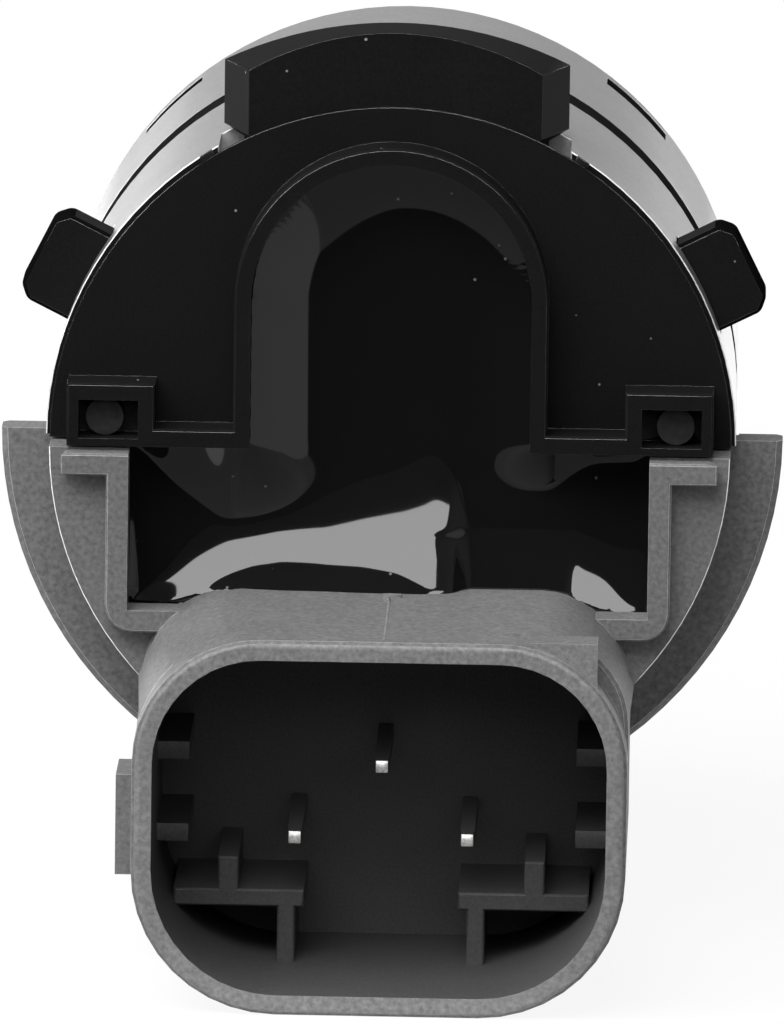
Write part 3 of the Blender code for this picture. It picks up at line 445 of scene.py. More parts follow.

# %% [markdown]
# ## Grey plastic
# The connector housing is moulded in a mottled grey. Its edges get a paler grey as a painted
# highlight, nearly white along the round rim. The flat mouth of the socket is a little paler too,
# a painted light, and the inside of the socket is darker, a painted shade.

# %% Mix the grey plastics
grey = grained_finish("grey_plastic", 0.145, 0.55, 0.0, 5000.0, 0.36, 0.008, shine=0.18)
# The edges' paler grey is a painted highlight.
grey_paler_edge_highlight = grained_finish("grey_rounded_edge_highlight", 0.55, 0.3, 0.0, 4000.0, 0.45, 0.006)
# The mouth's paler grey is a painted light; the parting line takes it too.
grey_painted_light = grained_finish("grey_lit_mouth", 0.20, 0.5, 0.0, 4500.0, 0.36, 0.006, shine=0.3)
# The socket's darker grey is painted shade.
grey_painted_shade = grained_finish("grey_socket_painted_shade", 0.06, 0.6, 0.0, 9000.0, 0.3, 0.004, shine=0.2)
# The near-white grey on the rim's edge is a painted highlight.
grey_rim_painted_highlight = grained_finish("grey_rim_line_highlight", 0.95, 0.4, 0.0, 4500.0, 0.3, 0.006)

# %% [markdown]
# ## Rubber and tin
# The ring in the groove between the bands is dull black rubber. The pins are tinned: their sides
# are dull and dark, a painted shade, and their tips are bright.

# %% Mix the rubber and the tin
rubber = grained_finish("seal_rubber", 0.008, 0.6, 0.0, 6000.0, 0.2, 0.01, shine=0.1)
tin = grained_finish("bright_tin", (0.60, 0.60, 0.58), 0.45, 0.7, 9000.0, 0.5, 0.004)
# The dark tin on the pins' sides is painted shade.
tin_painted_shade = grained_finish("tin_painted_shade", 0.05, 0.6, 0.3, 12000.0, 0.06, 0.001)

# %% [markdown]
# ## Picking things
# Blender's operators act on all that is selected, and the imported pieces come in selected. So each
# step first picks the one piece it works on, and then only the edges it wants.

# %% Write the picking helpers
def deselect_all():
    if bpy.context.object and bpy.context.object.mode != "OBJECT":
        bpy.ops.object.mode_set(mode="OBJECT")
    bpy.ops.object.select_all(action="DESELECT")


def pick(piece):
    deselect_all()
    piece.select_set(True)
    bpy.context.view_layer.objects.active = piece


def pick_edges(piece, wanted):
    """Leave a piece in edit mode with only those edges selected whose two ends pass a test."""
    pick(piece)
    bpy.ops.object.mode_set(mode="EDIT")
    bpy.ops.mesh.select_mode(type="EDGE")
    bpy.ops.mesh.select_all(action="DESELECT")
    bpy.ops.object.mode_set(mode="OBJECT")
    count = 0
    for edge in piece.data.edges:
        ends = [piece.data.vertices[index].co / MM for index in edge.vertices]
        if wanted(*ends):
            edge.select = True
            count += 1
    bpy.ops.object.mode_set(mode="EDIT")
    return count


deselect_all()
print("selected now:", len(bpy.context.selected_objects))

# %% [markdown]
# ## Shaping points one by one
# Some small forms are shaped by moving points of a copy. A rule is given a point's x, depth and z
# in mm, and it answers with the new ones, or with None where the point stays.

# %% Move chosen points
def move_points(piece, rule):
    moved = 0
    for vert in piece.data.vertices:
        place = rule(vert.co.x / MM, -vert.co.y / MM, vert.co.z / MM)
        if place:
            x, depth, z = place
            vert.co = (x * MM, -depth * MM, z * MM)
            moved += 1
    print(rule.__name__, "moved", moved, "points of", piece.name)


# %% [markdown]
# Some corners of the real mouldings are rounder than the rest. A Bevel modifier treats all edges
# alike, so these are picked in code and bevelled one group at a time.

# %% Round chosen corners
CORNER_STEPS = 3
LENGTHWAYS = 0.9


def round_corners(piece, width, inside):
    """Round the edges along the barrel whose middle, in x, depth and z, passes a test."""
    def wanted(a, b):
        middle = (a + b) / 2
        along = abs(a.y - b.y) > LENGTHWAYS * (a - b).length
        return along and inside(middle.x, -middle.y, middle.z)

    count = pick_edges(piece, wanted)
    bpy.ops.mesh.bevel(offset=width * MM, segments=CORNER_STEPS)
    bpy.ops.object.mode_set(mode="OBJECT")
    print("rounded", count, "corners of", piece.name)


# %% [markdown]
# ## The rim of the grey housing
# In the photograph a fine white line runs round the grey rim: light on its edge, which is painted
# nearly white as a highlight. The solid's chamfer of a quarter of a millimetre would show as a
# broad band, so the two rings of points that bound it are drawn close to the corner.

# %% Sharpen the rim
HOUSING_RADIUS = 13.47
FLOOR_DEPTH = 27.6
RIM_CHAMFER = 0.25
RIM_EDGE = 0.03


def sharp_rim(x, depth, z):
    radius = math.hypot(x, z)
    if abs(radius - HOUSING_RADIUS) < 0.02 and abs(depth - FLOOR_DEPTH + RIM_CHAMFER) < 0.01:
        return x, FLOOR_DEPTH - RIM_EDGE, z
    if abs(radius - HOUSING_RADIUS + RIM_CHAMFER) < 0.03 and abs(depth - FLOOR_DEPTH) < 0.01:
        factor = (HOUSING_RADIUS - RIM_EDGE) / radius
        return x * factor, depth, z * factor
    return None


# %% [markdown]
# ## The shoulder of the socket
# The solid's socket has a small shoulder beside its top, near the mouth. The photograph shows one
# on the right only. So the points at the shoulder's height are lifted to the crown, and those that
# then stand out on the left are laid on the round corner.

# %% Smooth the left shoulder away
SHOULDER_DEPTHS = (35.3, 37.2)
SHOULDER_HEIGHTS = (-5.87, -5.83)
SOCKET_CROWN = -5.705
CORNER_RADIUS = 5.0
CORNER_MIDDLE = (-4.68, -10.7)
SKIN = 0.005


def smooth_shoulder(x, depth, z):
    if not SHOULDER_DEPTHS[0] < depth < SHOULDER_DEPTHS[1]:
        return None
    lifted = SHOULDER_HEIGHTS[0] < z < SHOULDER_HEIGHTS[1]
    z = SOCKET_CROWN if lifted else z
    side, height = x - CORNER_MIDDLE[0], z - CORNER_MIDDLE[1]
    reach = math.hypot(side, height)
    if side < 0 and height > 0 and reach > CORNER_RADIUS:
        factor = (CORNER_RADIUS + SKIN) / reach
        return side * factor + CORNER_MIDDLE[0], depth, height * factor + CORNER_MIDDLE[1]
    return (x, depth, z) if lifted else None


# %% [markdown]
# ## The holes round the pins
# In the CAD model each pin has a small gap round it in the socket's floor. The photograph shows
# none, so the holes are drawn in until the pins fill them.

# %% Find the pins
PIN_NODES = ("terminal_pin_top", "terminal_pin_left", "terminal_pin_right")
TIP_LENGTH = 0.9


def pin_place(name):
    """Where a pin stands in the socket, in x and z: the middle of its last points."""
    points = [vert.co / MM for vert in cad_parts[name].data.vertices]
    rear = min(point.y for point in points)
    tips = [point for point in points if point.y < rear + TIP_LENGTH]
    return ((max(t.x for t in tips) + min(t.x for t in tips)) / 2,
            (max(t.z for t in tips) + min(t.z for t in tips)) / 2)


PIN_PLACES = [pin_place(name) for name in PIN_NODES]
print("pins at", [(round(x, 2), round(z, 2)) for x, z in PIN_PLACES])

# %% Close up the pin holes
HOLE_DEPTHS = (24.0, 27.0)
HOLE_REACH = 0.5
HOLE_SHRINK = 0.3


def tight_hole(x, depth, z):
    for pin_x, pin_z in PIN_PLACES:
        beside = abs(x - pin_x) < HOLE_REACH and abs(z - pin_z) < HOLE_REACH
        if beside and HOLE_DEPTHS[0] < depth < HOLE_DEPTHS[1]:
            return pin_x + (x - pin_x) * HOLE_SHRINK, depth, pin_z + (z - pin_z) * HOLE_SHRINK
    return None


# %% [markdown]
# ## The mouth of the socket
# The outer edge of the socket's open end is rounder than the others. It is found by its distance
# from the socket's inner wall, a rectangle with round corners. The bevel is clamped, because its
# wide steps would otherwise fold over the chamfer beside it.

# %% Round the mouth
SOCKET_HALF_WIDTH = 8.89
SOCKET_CEILING = -6.49
SOCKET_FLOOR = -19.86
SOCKET_WALL_CORNER = 4.2
MOUTH_ROUNDING = 0.2


def beside_socket(x, z):
    """Distance outward from the socket's inner wall."""
    corner = SOCKET_WALL_CORNER
    side = max(abs(x) - (SOCKET_HALF_WIDTH - corner), 0.0)
    centre = (SOCKET_CEILING + SOCKET_FLOOR) / 2
    height = max(abs(z - centre) - ((SOCKET_CEILING - SOCKET_FLOOR) / 2 - corner), 0.0)
    return math.hypot(side, height) - corner


def round_mouth(piece):
    rear = min(vert.co.y for vert in piece.data.vertices) / MM

    def at_the_mouth(*ends):
        return all(end.y < rear + 0.02 and beside_socket(end.x, end.z) > 0.35 for end in ends)

    count = pick_edges(piece, at_the_mouth)
    bpy.ops.mesh.bevel(offset=MOUTH_ROUNDING * MM, segments=CORNER_STEPS, clamp_overlap=True)
    bpy.ops.mesh.select_all(action="SELECT")
    bpy.ops.mesh.remove_doubles(threshold=0.01 * MM)
    bpy.ops.mesh.dissolve_degenerate(threshold=0.005 * MM)
    bpy.ops.mesh.dissolve_limited(angle_limit=math.radians(1.0))
    bpy.ops.object.mode_set(mode="OBJECT")
    print("rounded", count, "edges of the mouth, which ends at", round(-rear, 2))


# %% Gather the changes to the housing
WALL_END_CORNER = 0.4


def wall_ends(x, depth, z):
    """The outer ends of the L-shaped walls, behind the rim and above the middle."""
    return depth > 27.5 and abs(x) > 12.6 and z > -3.0


def reshape_housing(piece):
    for rule in (sharp_rim, smooth_shoulder, tight_hole):
        move_points(piece, rule)
    round_corners(piece, WALL_END_CORNER, wall_ends)
    round_mouth(piece)


# %% [markdown]
# ## The black disc and its ears
# The half-moon face reaches nearly to the sleeve's edge and leaves only a thin bright line of
# silver. Its chamfer is drawn out for that. The two ears are rounded at their outer corners.

# %% Reshape the shell
DISC_RADIUS = 13.45
DISC_DEPTH = 26.0
DISC_CHAMFER = 0.12
NEW_OUTER = (DISC_RADIUS + 0.08, DISC_DEPTH - 0.03)
NEW_INNER = (DISC_RADIUS + 0.05, DISC_DEPTH)
EAR_CORNER = 0.18


def wide_disc(x, depth, z):
    radius = math.hypot(x, z)
    if abs(radius - DISC_RADIUS) < 0.02 and abs(depth - DISC_DEPTH + DISC_CHAMFER) < 0.01:
        reach, depth = NEW_OUTER
    elif abs(radius - DISC_RADIUS + DISC_CHAMFER) < 0.02 and abs(depth - DISC_DEPTH) < 0.01:
        reach, depth = NEW_INNER
    else:
        return None
    return x * reach / radius, depth, z * reach / radius


def ear_corners(x, depth, z):
    return math.hypot(x, z) > 14.0 and z < 11.0


def reshape_shell(piece):
    move_points(piece, wide_disc)
    round_corners(piece, EAR_CORNER, ear_corners)


# %% [markdown]
# ## The slots and the groove
# The front cap has four slots for the clips of the bumper's holder. The upper two show in the
# photograph as thin dark lines and are turned, shortened and widened to match, each about its own
# middle, while the lower two stay as they are. The groove between the bands looks wider than the
# solids' seam, so the sleeve's front edge is set back.

# %% Reshape the cap and the sleeve
SLOT_DEPTH = 3.4
SLOT_HALF_ANGLE = 9.5
SLOT_HALF_WIDTH = 0.6
# A slot's angle, then its turn in degrees and the factors for its length and width.
SLOTS = {45.0: (1.4, 0.82, 1.7), 135.0: (-0.3, 0.78, 1.2)}
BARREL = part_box("front_cap")[1][0] / MM
SLEEVE_FRONT = -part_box("barrel_sleeve")[1][1] / MM
SLEEVE_LIP = 3.3
GROOVE_WIDER = 0.9


def slot_sides(x, depth, z):
    radius = math.hypot(x, z)
    angle = math.degrees(math.atan2(z, x)) % 360.0
    for middle, (turn, length, width) in SLOTS.items():
        if abs(angle - middle) < SLOT_HALF_ANGLE and abs(depth - SLOT_DEPTH) < SLOT_HALF_WIDTH:
            turned = math.radians(middle + turn + (angle - middle) * length)
            return (radius * math.cos(turned), SLOT_DEPTH + (depth - SLOT_DEPTH) * width,
                    radius * math.sin(turned))
    return None


def groove_edge(x, depth, z):
    if math.hypot(x, z) > BARREL - 0.5 and depth < SLEEVE_FRONT + SLEEVE_LIP:
        return x, depth + GROOVE_WIDER, z
    return None


def reshape_cap(piece):
    move_points(piece, slot_sides)


def reshape_sleeve(piece):
    move_points(piece, groove_edge)


# %% [markdown]
# ## The tips of the pins
# The solids end their pins in a pyramid. The photograph shows a small bright square at each tip,
# so the pyramid's top is left broader.

# %% Widen a pin's tip
TIP_WIDER = 1.9


def widen_tip(piece):
    points = piece.data.vertices
    rear = min(point.co.y for point in points)
    tips = [point for point in points if point.co.y < rear + 0.1 * MM]
    middle = sum((point.co for point in tips), Vector()) / len(tips)
    for point in tips:
        point.co = middle + (point.co - middle) * TIP_WIDER
    print("widened", len(tips), "points of", piece.name)


# %% [markdown]
# ## Softened copies of the moulded pieces
# Real mouldings have no knife edges: each edge is rounded by a tenth of a millimetre and catches a
# thin line of light. The CAD solids are sharp, so each visible one is copied, its loose triangles
# are merged back into flat faces, and a Bevel modifier rounds every edge. The copy then stands
# for the node.

# %% Copy a node with clean faces
def merged_copy(node, name, materials):
    """A copy of a CAD node with its triangles merged into flat faces of the first material."""
    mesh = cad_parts[node].data.copy()
    mesh.materials.clear()
    mesh.name = name
    piece = bpy.data.objects.new(name, mesh)
    scene.collection.objects.link(piece)
    for material in materials:
        mesh.materials.append(material)
    for face in mesh.polygons:
        face.material_index = 0
    pick(piece)
    bpy.ops.object.mode_set(mode="EDIT")
    bpy.ops.mesh.select_all(action="SELECT")
    bpy.ops.mesh.remove_doubles(threshold=0.002 * MM)
    bpy.ops.mesh.dissolve_limited(angle_limit=math.radians(1.0))
    bpy.ops.object.mode_set(mode="OBJECT")
    return piece


# %% [markdown]
# The bevel takes the second material, so that edges can be glossier than faces, or paler as a
# painted highlight. Smooth shading with weighted normals keeps the flat faces flat beside their
# rounded edges.

# %% Round the edges of a copy
SHARP_ANGLE = math.radians(35)
SMOOTH_ANGLE = math.radians(40)


def softened_copy(node, name, radius, materials, reshape):
    """A copy of a CAD node, reshaped, with edges of a radius in mm in its second material."""
    piece = merged_copy(node, name, materials)
    reshape(piece)
    bevel = piece.modifiers.new("edge", "BEVEL")
    bevel.width = radius * MM
    bevel.segments = 2
    bevel.limit_method = "ANGLE"
    bevel.angle_limit = SHARP_ANGLE
    bevel.use_clamp_overlap = True
    bevel.miter_outer = "MITER_ARC"
    bevel.material = 1
    bpy.ops.object.modifier_apply(modifier="edge")
    bpy.ops.object.shade_smooth_by_angle(angle=SMOOTH_ANGLE)
    even = piece.modifiers.new("even", "WEIGHTED_NORMAL")
    even.mode = "FACE_AREA"
    even.weight = 100
    even.keep_sharp = True
    bpy.ops.object.modifier_apply(modifier="even")
    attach(piece, "root")
    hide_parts(node)
    print(name, len(piece.data.polygons), "faces")
    return piece


# %% Make the softened mouldings
cap_piece = softened_copy("front_cap", "painted_cap", 0.04, [silver, silver, black],
                          reshape_cap)
sleeve_piece = softened_copy("barrel_sleeve", "painted_sleeve", 0.12, [silver, silver_painted_highlight, black],
                             reshape_sleeve)
shell_piece = softened_copy("rear_shell", "black_moulding", 0.14,
                            [black, black_gloss_edge_highlight, black_painted_shade, black_painted_light],
                            reshape_shell)
housing_piece = softened_copy("connector_housing", "grey_moulding", 0.1,
                              [grey, grey_paler_edge_highlight, grey_painted_shade, grey_painted_light, grey_rim_painted_highlight],
                              reshape_housing)
pin_pieces = [softened_copy(node, node.replace("terminal_", ""), 0.03, [tin_painted_shade, tin_painted_shade, tin],
                            widen_tip) for node in PIN_NODES]

# %% [markdown]
# ## Where the paint stops
# Only the outside of the two bands is sprayed silver. Their inner faces, the walls of the groove
# between them and the walls of the slots keep the black of the plastic, which is why groove and
# slots read as black lines. The faces could be picked by hand, but a test on each face's middle
# and normal finds them every time.

# %% Leave the inner faces of the bands unpainted
BAND_REAR = 16.0
TAB_FOOT = 9.0
PAINTED_SKIN = 0.16
REAR_SKIN = 0.13
OUTWARD = 0.85
CAP_LIP = 1.0


def paint_where(piece, slot_index, inside):
    """Give one material slot to the faces whose middle, in mm, and normal pass a test."""
    count = 0
    for face in piece.data.polygons:
        if inside(face.center / MM, face.normal):
            face.material_index = slot_index
            count += 1
    print(piece.name, "faces in slot", slot_index, ":", count)


def off_the_band(middle, normal):
    """Off the outer skin, apart from the block under the tab and the sleeve's rear edge."""
    radius = math.hypot(middle.x, middle.z)
    outward = (normal.x * middle.x + normal.z * middle.z) / max(radius, 0.1)
    if -middle.y > BAND_REAR and (middle.z > TAB_FOOT or radius > BARREL - REAR_SKIN):
        return False
    return -middle.y > CAP_LIP and (radius < BARREL - PAINTED_SKIN or outward < OUTWARD)


def under_the_tab(middle, normal):
    """The block that carries the tab, whose edges are painted like its faces."""
    return abs(middle.x) < 7.0 and middle.z > 11.0


paint_where(cap_piece, 2, off_the_band)
paint_where(sleeve_piece, 0, under_the_tab)
paint_where(sleeve_piece, 2, off_the_band)

# %% [markdown]
# The black shell's ears get a darker black on their sides and tops, a painted shade, and its
# pockets a paler black, a painted light. Inside the plug socket the grey is darker, a painted
# shade, while its mouth is paler, a painted light, and the edge of the rim is nearly white, a
# painted highlight. The pins are dark along their sides, a painted shade, and bright at their tips.

# %% Paint the ears, the pockets, the socket and the pins
PIN_END = -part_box("terminal_pin_top")[0][1] / MM


def on_an_ear(middle, normal):
    return math.hypot(middle.x, middle.z) > 14 and middle.z < 11 and normal.y > -0.9


def in_a_pocket(middle, normal):
    """On the pegs and the walls inside the shell's two corner pockets."""
    return 9.8 < abs(middle.x) < 12.4 and 0.5 < middle.z < 2.15 and 24.0 < -middle.y < 27.62


def in_the_socket(middle, normal):
    """Behind the socket's floor and not outside its inner wall."""
    return 25.9 < -middle.y < 37.4 and beside_socket(middle.x, middle.z) < 0.1


def on_the_mouth(middle, normal):
    return normal.y < -0.9 and -middle.y > 36.9


def on_the_rim_edge(middle, normal):
    radius = math.hypot(middle.x, middle.z)
    return 13.34 < radius < 13.5 and 27.4 < -middle.y < 27.7 and abs(normal.y) < 0.99


def pin_tip(middle, normal):
    return normal.y < -0.25 and -middle.y > PIN_END - TIP_LENGTH


# Painted shade on the ears' sides and tops, painted light in the pockets.
paint_where(shell_piece, 2, on_an_ear)
paint_where(shell_piece, 3, in_a_pocket)
# Painted light on the mouth, a painted highlight on the rim's edge, painted shade in the socket.
paint_where(housing_piece, 3, on_the_mouth)
paint_where(housing_piece, 4, on_the_rim_edge)
paint_where(housing_piece, 2, in_the_socket)
# The pins' sides keep the dark tin of painted shade, and their tips turn bright.
for piece in pin_pieces:
    paint_where(piece, 2, pin_tip)

# %% [markdown]
# ## Pieces that keep their CAD shape
# The rubber ring lies deep in the groove, so its solid serves. Under the silver cap sit the
# aluminium cup that rings at ultrasonic pitch, its silicone ring, the ceramic disc, a foam pad and
# the carrier, and behind them the circuit board with its parts. All are hidden, so each keeps its
# solid and gets the finish of its own stuff: colour, roughness, metallic, and the size, contrast
# and depth of its grain.

# %% Finish the ring and the pieces inside
INNER_FINISHES = {
    "spun_aluminium": (("transducer_cup",), (0.62, 0.63, 0.64), 0.3, 1.0, 4000.0, 0.1),
    "soft_silicone": (("decoupling_ring",), (0.16, 0.17, 0.17), 0.6, 0.0, 5000.0, 0.2, 0.006),
    "fired_ceramic": (("piezo_disc",), (0.52, 0.49, 0.42), 0.5, 0.0, 7000.0, 0.25, 0.006),
    "grey_foam": (("damping_pad",), (0.11, 0.11, 0.115), 0.95, 0.0, 2500.0, 0.7, 0.06),
    "carrier_nylon": (("transducer_carrier",), (0.03, 0.03, 0.032), 0.55, 0.0, 6000.0, 0.3, 0.006),
    "lead_copper": (("transducer_lead_left", "transducer_lead_right"),
                    (0.70, 0.36, 0.20), 0.3, 1.0, 9000.0, 0.1, 0.002),
    "green_laminate": (("circuit_board",), (0.015, 0.11, 0.035), 0.35, 0.0, 3500.0, 0.25),
    "chip_epoxy": (("control_chip",), (0.014, 0.014, 0.015), 0.5, 0.0, 9000.0, 0.3),
    "dark_ferrite": (("pulse_transformer",), (0.035, 0.034, 0.036), 0.6, 0.0, 5000.0, 0.35, 0.008),
    "tan_ceramic": (("capacitor_a", "capacitor_b", "capacitor_c"),
                    (0.42, 0.30, 0.17), 0.45, 0.0, 7000.0, 0.2, 0.003),
    "black_film": (("resistor_a", "resistor_b"), (0.02, 0.02, 0.022), 0.4, 0.0, 7000.0, 0.3, 0.003),
}


def finish_node(node, material):
    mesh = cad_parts[node].data
    for index in range(len(mesh.materials)):
        mesh.materials[index] = material


finish_node("seal_ring", rubber)
for finish_name, (nodes, *values) in INNER_FINISHES.items():
    finish = grained_finish(finish_name, *values)
    for node in nodes:
        finish_node(node, finish)
print("finishes inside:", len(INNER_FINISHES))

# %% [markdown]
# ## The cast resin
# The well behind the circuit board is filled with black resin. While it is liquid it climbs the
# walls, so it sets as a glossy hollow that shows bent pictures of the soft panels. Its outline is
# put together from plain shapes: a pool, a stem with a round arch on top, less the round-cornered
# top of the socket.

# %% Write helpers for the resin block
def box_between(name, low, high):
    """A box from its corners, given as x, depth and z in millimetres."""
    middle = [(a + b) / 2 * MM for a, b in zip(low, high)]
    bpy.ops.mesh.primitive_cube_add(size=1.0, location=(middle[0], -middle[1], middle[2]))
    piece = bpy.context.object
    piece.name = name
    piece.scale = [abs(b - a) * MM for a, b in zip(low, high)]
    bpy.ops.object.transform_apply(location=True, rotation=True, scale=True)
    return piece


def boolean(piece, tool, operation):
    """Join or cut with a tool, which is then thrown away."""
    pick(piece)
    step = piece.modifiers.new(operation, "BOOLEAN")
    step.operation = operation
    step.object = tool
    bpy.ops.object.modifier_apply(modifier=operation)
    bpy.data.objects.remove(tool)


# %% Join the pool, the stem and the arch
STEM_HALF = 5.67
ARCH_Z = 5.95
POOL_HALF = 10.42
POOL_TOP = 0.15
POOL_FOOT = -6.57
RESIN_FRONT = 24.8
RESIN_REAR = 28.0

deselect_all()
resin_piece = box_between("cast_resin", (-POOL_HALF, RESIN_FRONT, POOL_FOOT),
                          (POOL_HALF, RESIN_REAR, POOL_TOP))
boolean(resin_piece, box_between("stem", (-STEM_HALF, RESIN_FRONT, POOL_TOP - 1),
                                 (STEM_HALF, RESIN_REAR, ARCH_Z)), "UNION")
bpy.ops.mesh.primitive_cylinder_add(vertices=96, radius=STEM_HALF * MM,
                                    depth=(RESIN_REAR - RESIN_FRONT) * MM,
                                    location=(0, -(RESIN_REAR + RESIN_FRONT) / 2 * MM, ARCH_Z * MM),
                                    rotation=(math.pi / 2, 0, 0))
boolean(resin_piece, bpy.context.object, "UNION")
print("resin block:", len(resin_piece.data.polygons), "faces")

# %% Cut the socket's top out of it
SOCKET_HALF = 9.56
SOCKET_TOP = -5.82
SOCKET_CORNER = 3.48

socket_form = box_between("socket_form", (-SOCKET_HALF, RESIN_FRONT - 1, -16.0),
                          (SOCKET_HALF, RESIN_REAR + 1, SOCKET_TOP))
corners = pick_edges(socket_form, lambda a, b: abs(a.y - b.y) > 1 and a.z > -10)
bpy.ops.mesh.bevel(offset=SOCKET_CORNER * MM, segments=16)
bpy.ops.object.mode_set(mode="OBJECT")
boolean(resin_piece, socket_form, "DIFFERENCE")
print("rounded", corners, "corners of the socket's form")

# %% [markdown]
# To sag, the block needs many small faces. Remesh turns it into an even skin of cells a tenth of a
# millimetre wide, which is fine enough for smooth reflections.

# %% Give the resin an even skin
SKIN_CELL = 0.11

skin = resin_piece.modifiers.new("skin", "REMESH")
skin.mode = "VOXEL"
skin.voxel_size = SKIN_CELL * MM
bpy.ops.object.modifier_apply(modifier="skin")
print("resin skin:", len(resin_piece.data.polygons), "faces")

# %% [markdown]
# ## How far the resin creeps
# The resin climbs the outer walls in a short fillet. Along the socket it swells much further, and
# that swelling shows the bright panel, with a small fillet right at the socket's foot. Real resin
# is never even, so each table gives a reach in mm, or a share of steepness, at places across the
# well. They were found by looking at where the lights fall.

# %% Write down the creep
BASE_DEPTH = 26.05
SLOPE = 0.46
CREEP_X = (-10.4, -9.9, -9.1, -7.8, -6.4, -4.6, -2.7, -1.2, 0.4, 1.7, 2.4, 2.9, 3.4, 7.1, 7.4, 8.5,
           9.2, 9.7, 10.4)
CREEP = (0.1, 0.25, 0.75, 1.45, 1.95, 2.3, 2.5, 2.9, 3.25, 3.7, 3.3, 2.8, 2.4, 1.6, 1.0, 0.9, 0.45,
         0.15, 0.1)
STEEP_X = (2.6, 3.2, 7.15, 7.4)
STEEPNESS = (1.0, 0.0, 0.0, 0.65)
GENTLE = (0.0, 1.0, 1.0, 1.0)
GENTLE_REACH = 2.7
GENTLE_SLOPE = 0.17
FOOT_X = (-7.8, -6.85, -5.4, -4.3, -1.2, 0.4, 1.7, 2.3)
FOOT_REACH = (0.0, 0.28, 0.75, 0.9, 0.8, 0.6, 0.16, 0.0)
FOOT_SLOPE = 0.5
WALL_X = (-10.4, -9.8, -8.6, -7.4, -6.4, -4.0, 0.0, 4.0, 6.4, 7.2, 8.0, 10.4)
WALL_REACH = (0.3, 0.35, 1.2, 1.5, 2.5, 2.5, 1.7, 1.3, 1.3, 0.8, 0.5, 0.4)
WALL_SLOPE = 0.9
print("longest creep:", max(CREEP), "mm")


def soft_table(x, places, values, spread):
    """Values between the places of a table, with the corners of the line rounded off."""
    offsets = np.linspace(-2.0, 2.0, 17)
    weights = np.exp(-offsets ** 2 / 2)
    parts = [np.interp(x + offset * spread, places, values) * weight
             for offset, weight in zip(offsets, weights)]
    return sum(parts) / weights.sum()


def ramp(distance, reach, slope):
    """A height that falls evenly out to a reach, and then runs out softly to nothing."""
    soft = 0.35 * reach
    return slope * soft * np.log1p(np.exp((reach - distance) / soft))


# %% [markdown]
# The well's outline is laid out as dense rows of points, and a point's distance to a wall is its
# distance to the nearest of them.

# %% Lay out the walls of the well
def run(a, b, count=60):
    """A straight row of points from a to b."""
    steps = np.linspace(0, 1, count)[:, None]
    return np.array(a) * (1 - steps) + np.array(b) * steps


def outer_walls():
    """The arch, the sides of the stem and the sides of the pool."""
    turns = np.linspace(0, np.pi, 60)
    parts = [np.stack([STEM_HALF * np.cos(turns), ARCH_Z + STEM_HALF * np.sin(turns)], 1)]
    for side in (-1, 1):
        parts.append(run((side * STEM_HALF, ARCH_Z), (side * STEM_HALF, POOL_TOP)))
        parts.append(run((side * STEM_HALF, POOL_TOP), (side * POOL_HALF, POOL_TOP)))
        parts.append(run((side * POOL_HALF, POOL_TOP), (side * POOL_HALF, POOL_FOOT)))
    return np.concatenate(parts)


def socket_and_ledges():
    """The top of the socket with its round corners, and the short ledges beside it."""
    centre = SOCKET_HALF - SOCKET_CORNER
    drop = (POOL_FOOT - SOCKET_TOP + SOCKET_CORNER) / SOCKET_CORNER
    turns = np.linspace(math.asin(drop), np.pi / 2, 40)
    corner = np.stack([centre + SOCKET_CORNER * np.cos(turns),
                       SOCKET_TOP - SOCKET_CORNER + SOCKET_CORNER * np.sin(turns)], 1)
    crown = run((-centre, SOCKET_TOP), (centre, SOCKET_TOP), 160)
    ledges = [run((side * corner[0][0], POOL_FOOT), (side * POOL_HALF, POOL_FOOT))
              for side in (-1, 1)]
    return np.concatenate([corner, corner * (-1, 1), crown]), np.concatenate(ledges)


def nearest(points, line):
    """Distance from each point to a line of points, in slices to save memory."""
    result = np.empty(len(points))
    for start in range(0, len(points), 4000):
        part = points[start:start + 4000]
        result[start:start + 4000] = np.sqrt(((part[:, None] - line[None]) ** 2).sum(2).min(1))
    return result


walls = outer_walls()
socket_line, ledges = socket_and_ledges()
print("points along the walls:", len(walls) + len(socket_line) + len(ledges))

# %% [markdown]
# Near the right end of the swelling a small terrace cuts the bright reflection short. It is taken
# away from the swelling within soft limits, and it runs out towards the socket.

# %% Cut the terrace
TERRACE_LEFT = 1.9
TERRACE_RIGHT = 2.9
TERRACE_TOP = -3.55
TERRACE_DROP = 0.17
TERRACE_RUN = 2.3


def soft_step(distance, softness):
    """From 0 to 1 as a distance passes nought."""
    return 1 / (1 + np.exp(-distance / softness))


def terrace(x, z):
    across = soft_step(x - TERRACE_LEFT, 0.22) * soft_step(TERRACE_RIGHT - x, 0.08)
    below = soft_step(TERRACE_TOP - z, 0.12)
    return TERRACE_DROP * across * below * np.clip(1 - (TERRACE_TOP - z) / TERRACE_RUN, 0, 1)


print("terrace", TERRACE_RIGHT - TERRACE_LEFT, "mm wide")

# %% [markdown]
# ## Let the resin sag
# The heights are added up where they belong to the same side. Where wall and socket meet, their
# cubes are added and the cube root is taken, which blends the two slopes without a crease.

# %% Add the heights together
BLEND = 0.35


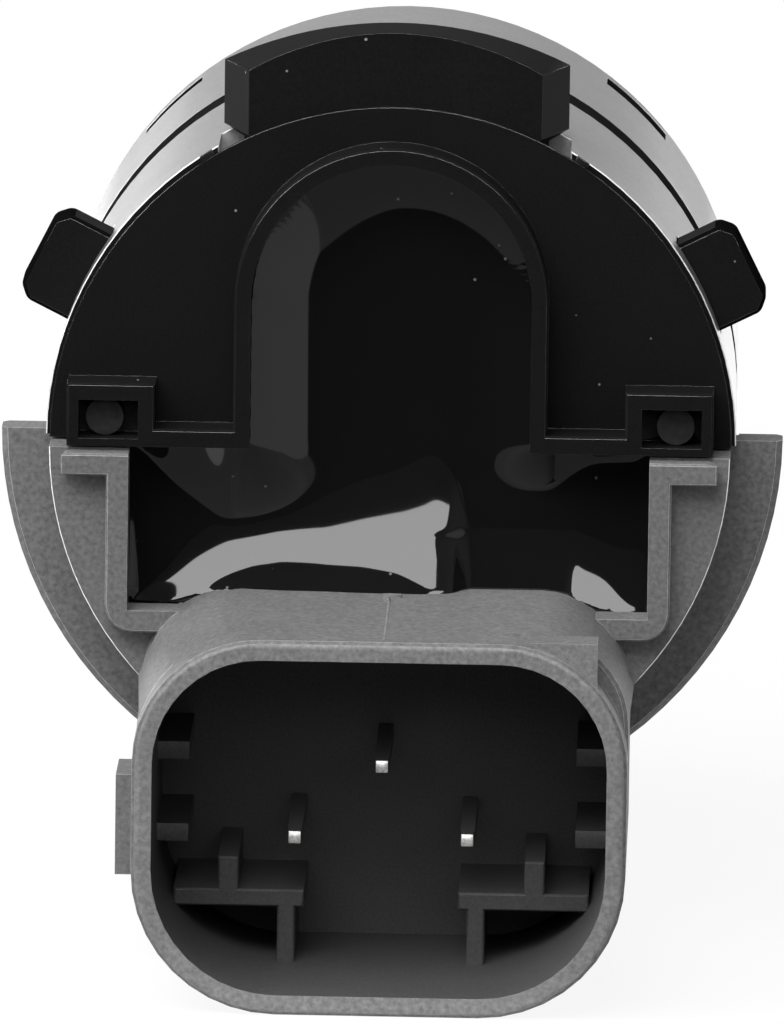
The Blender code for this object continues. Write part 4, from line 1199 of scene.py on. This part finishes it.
def resin_depth(points):
    """How far behind the sensing face the resin's skin lies, at points of x and z."""
    x, z = points[:, 0], points[:, 1]
    to_foot = -BLEND * np.log(np.exp(-nearest(points, socket_line) / BLEND)
                              + np.exp(-nearest(points, ledges) / BLEND))
    to_foot = np.maximum(to_foot, 0)
    steepness = SLOPE * soft_table(x, STEEP_X, STEEPNESS, 0.1)
    gentle = GENTLE_SLOPE * soft_table(x, STEEP_X, GENTLE, 0.1)
    foot_reach = soft_table(x, FOOT_X, FOOT_REACH, 0.2)
    swell = (ramp(to_foot, soft_table(x, CREEP_X, CREEP, 0.2), steepness)
             + ramp(to_foot, GENTLE_REACH, gentle)
             + ramp(to_foot, foot_reach + 0.02, FOOT_SLOPE * np.clip(foot_reach / 0.3, 0, 1))
             - terrace(x, z))
    wall_reach = soft_table(x, WALL_X, WALL_REACH, 0.25)
    climb = ramp(nearest(points, walls), wall_reach, SLOPE * WALL_SLOPE)
    return BASE_DEPTH + (climb ** 3 + np.maximum(swell, 0) ** 3) ** (1 / 3)


# %% Move the skin
verts = resin_piece.data.vertices
coords = np.empty(len(verts) * 3)
verts.foreach_get("co", coords)
coords = coords.reshape(-1, 3)
share = (-coords[:, 1] / MM - RESIN_FRONT) / (RESIN_REAR - RESIN_FRONT)
skin_depth = resin_depth(coords[:, [0, 2]] / MM)
coords[:, 1] = -(RESIN_FRONT + share * (skin_depth - RESIN_FRONT)) * MM
verts.foreach_set("co", coords.ravel())
resin_piece.data.update()
pick(resin_piece)
bpy.ops.object.shade_smooth_by_angle(angle=math.radians(50))
print("resin skin from", round(skin_depth.min(), 2), "to", round(skin_depth.max(), 2), "mm")

# %% [markdown]
# Cast resin sets deep black and nearly as smooth as glass. A trace of roughness softens what it
# mirrors, and a little dust has settled on it.

# %% Finish the resin
resin = grained_finish("black_resin", 0.006, 0.05, 0.0, 2000.0, 0.05, 0.0, dust=0.15)
resin_piece.data.materials.append(resin)
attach(resin_piece, "root")
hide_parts("potting_resin")

# %% [markdown]
# ## Small marks of the moulding
# The two halves of the mould leave a fine raised line along the socket's top, with a torn flake of
# flash at its end. It is too fine for the solids. A ray cast downwards finds the surface, and the
# line and the flake are laid on it as thin blocks and joined.

# %% Add the mould's marks
LINE_X = (0.06, 0.14)
LINE_SINK = 0.05


def top_of(piece, x, depth):
    """Height of a piece's upper surface, in mm, found by looking straight down."""
    hit, place, _, _ = piece.ray_cast(Vector((x * MM, -depth * MM, 0.0)), Vector((0, 0, -1)))
    return place.z / MM if hit else None


top = top_of(housing_piece, LINE_X[0], 32.0)
print("socket's top at", round(top, 2), "mm")
line_piece = box_between("parting_line", (LINE_X[0], 27.7, top - LINE_SINK),
                         (LINE_X[1], 36.9, top + 0.015))
boolean(line_piece, box_between("flake", (-0.15, 28.2, top - LINE_SINK),
                                (0.55, 28.5, top + 0.10)), "UNION")
boolean(line_piece, box_between("flake_stem", (-0.15, 28.4, top - LINE_SINK),
                                (0.10, 29.4, top + 0.07)), "UNION")
# The line and the flake take the mouth's paler grey, a painted light.
line_piece.data.materials.append(grey_painted_light)
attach(line_piece, "root")
print("parting line:", len(line_piece.data.polygons), "faces")
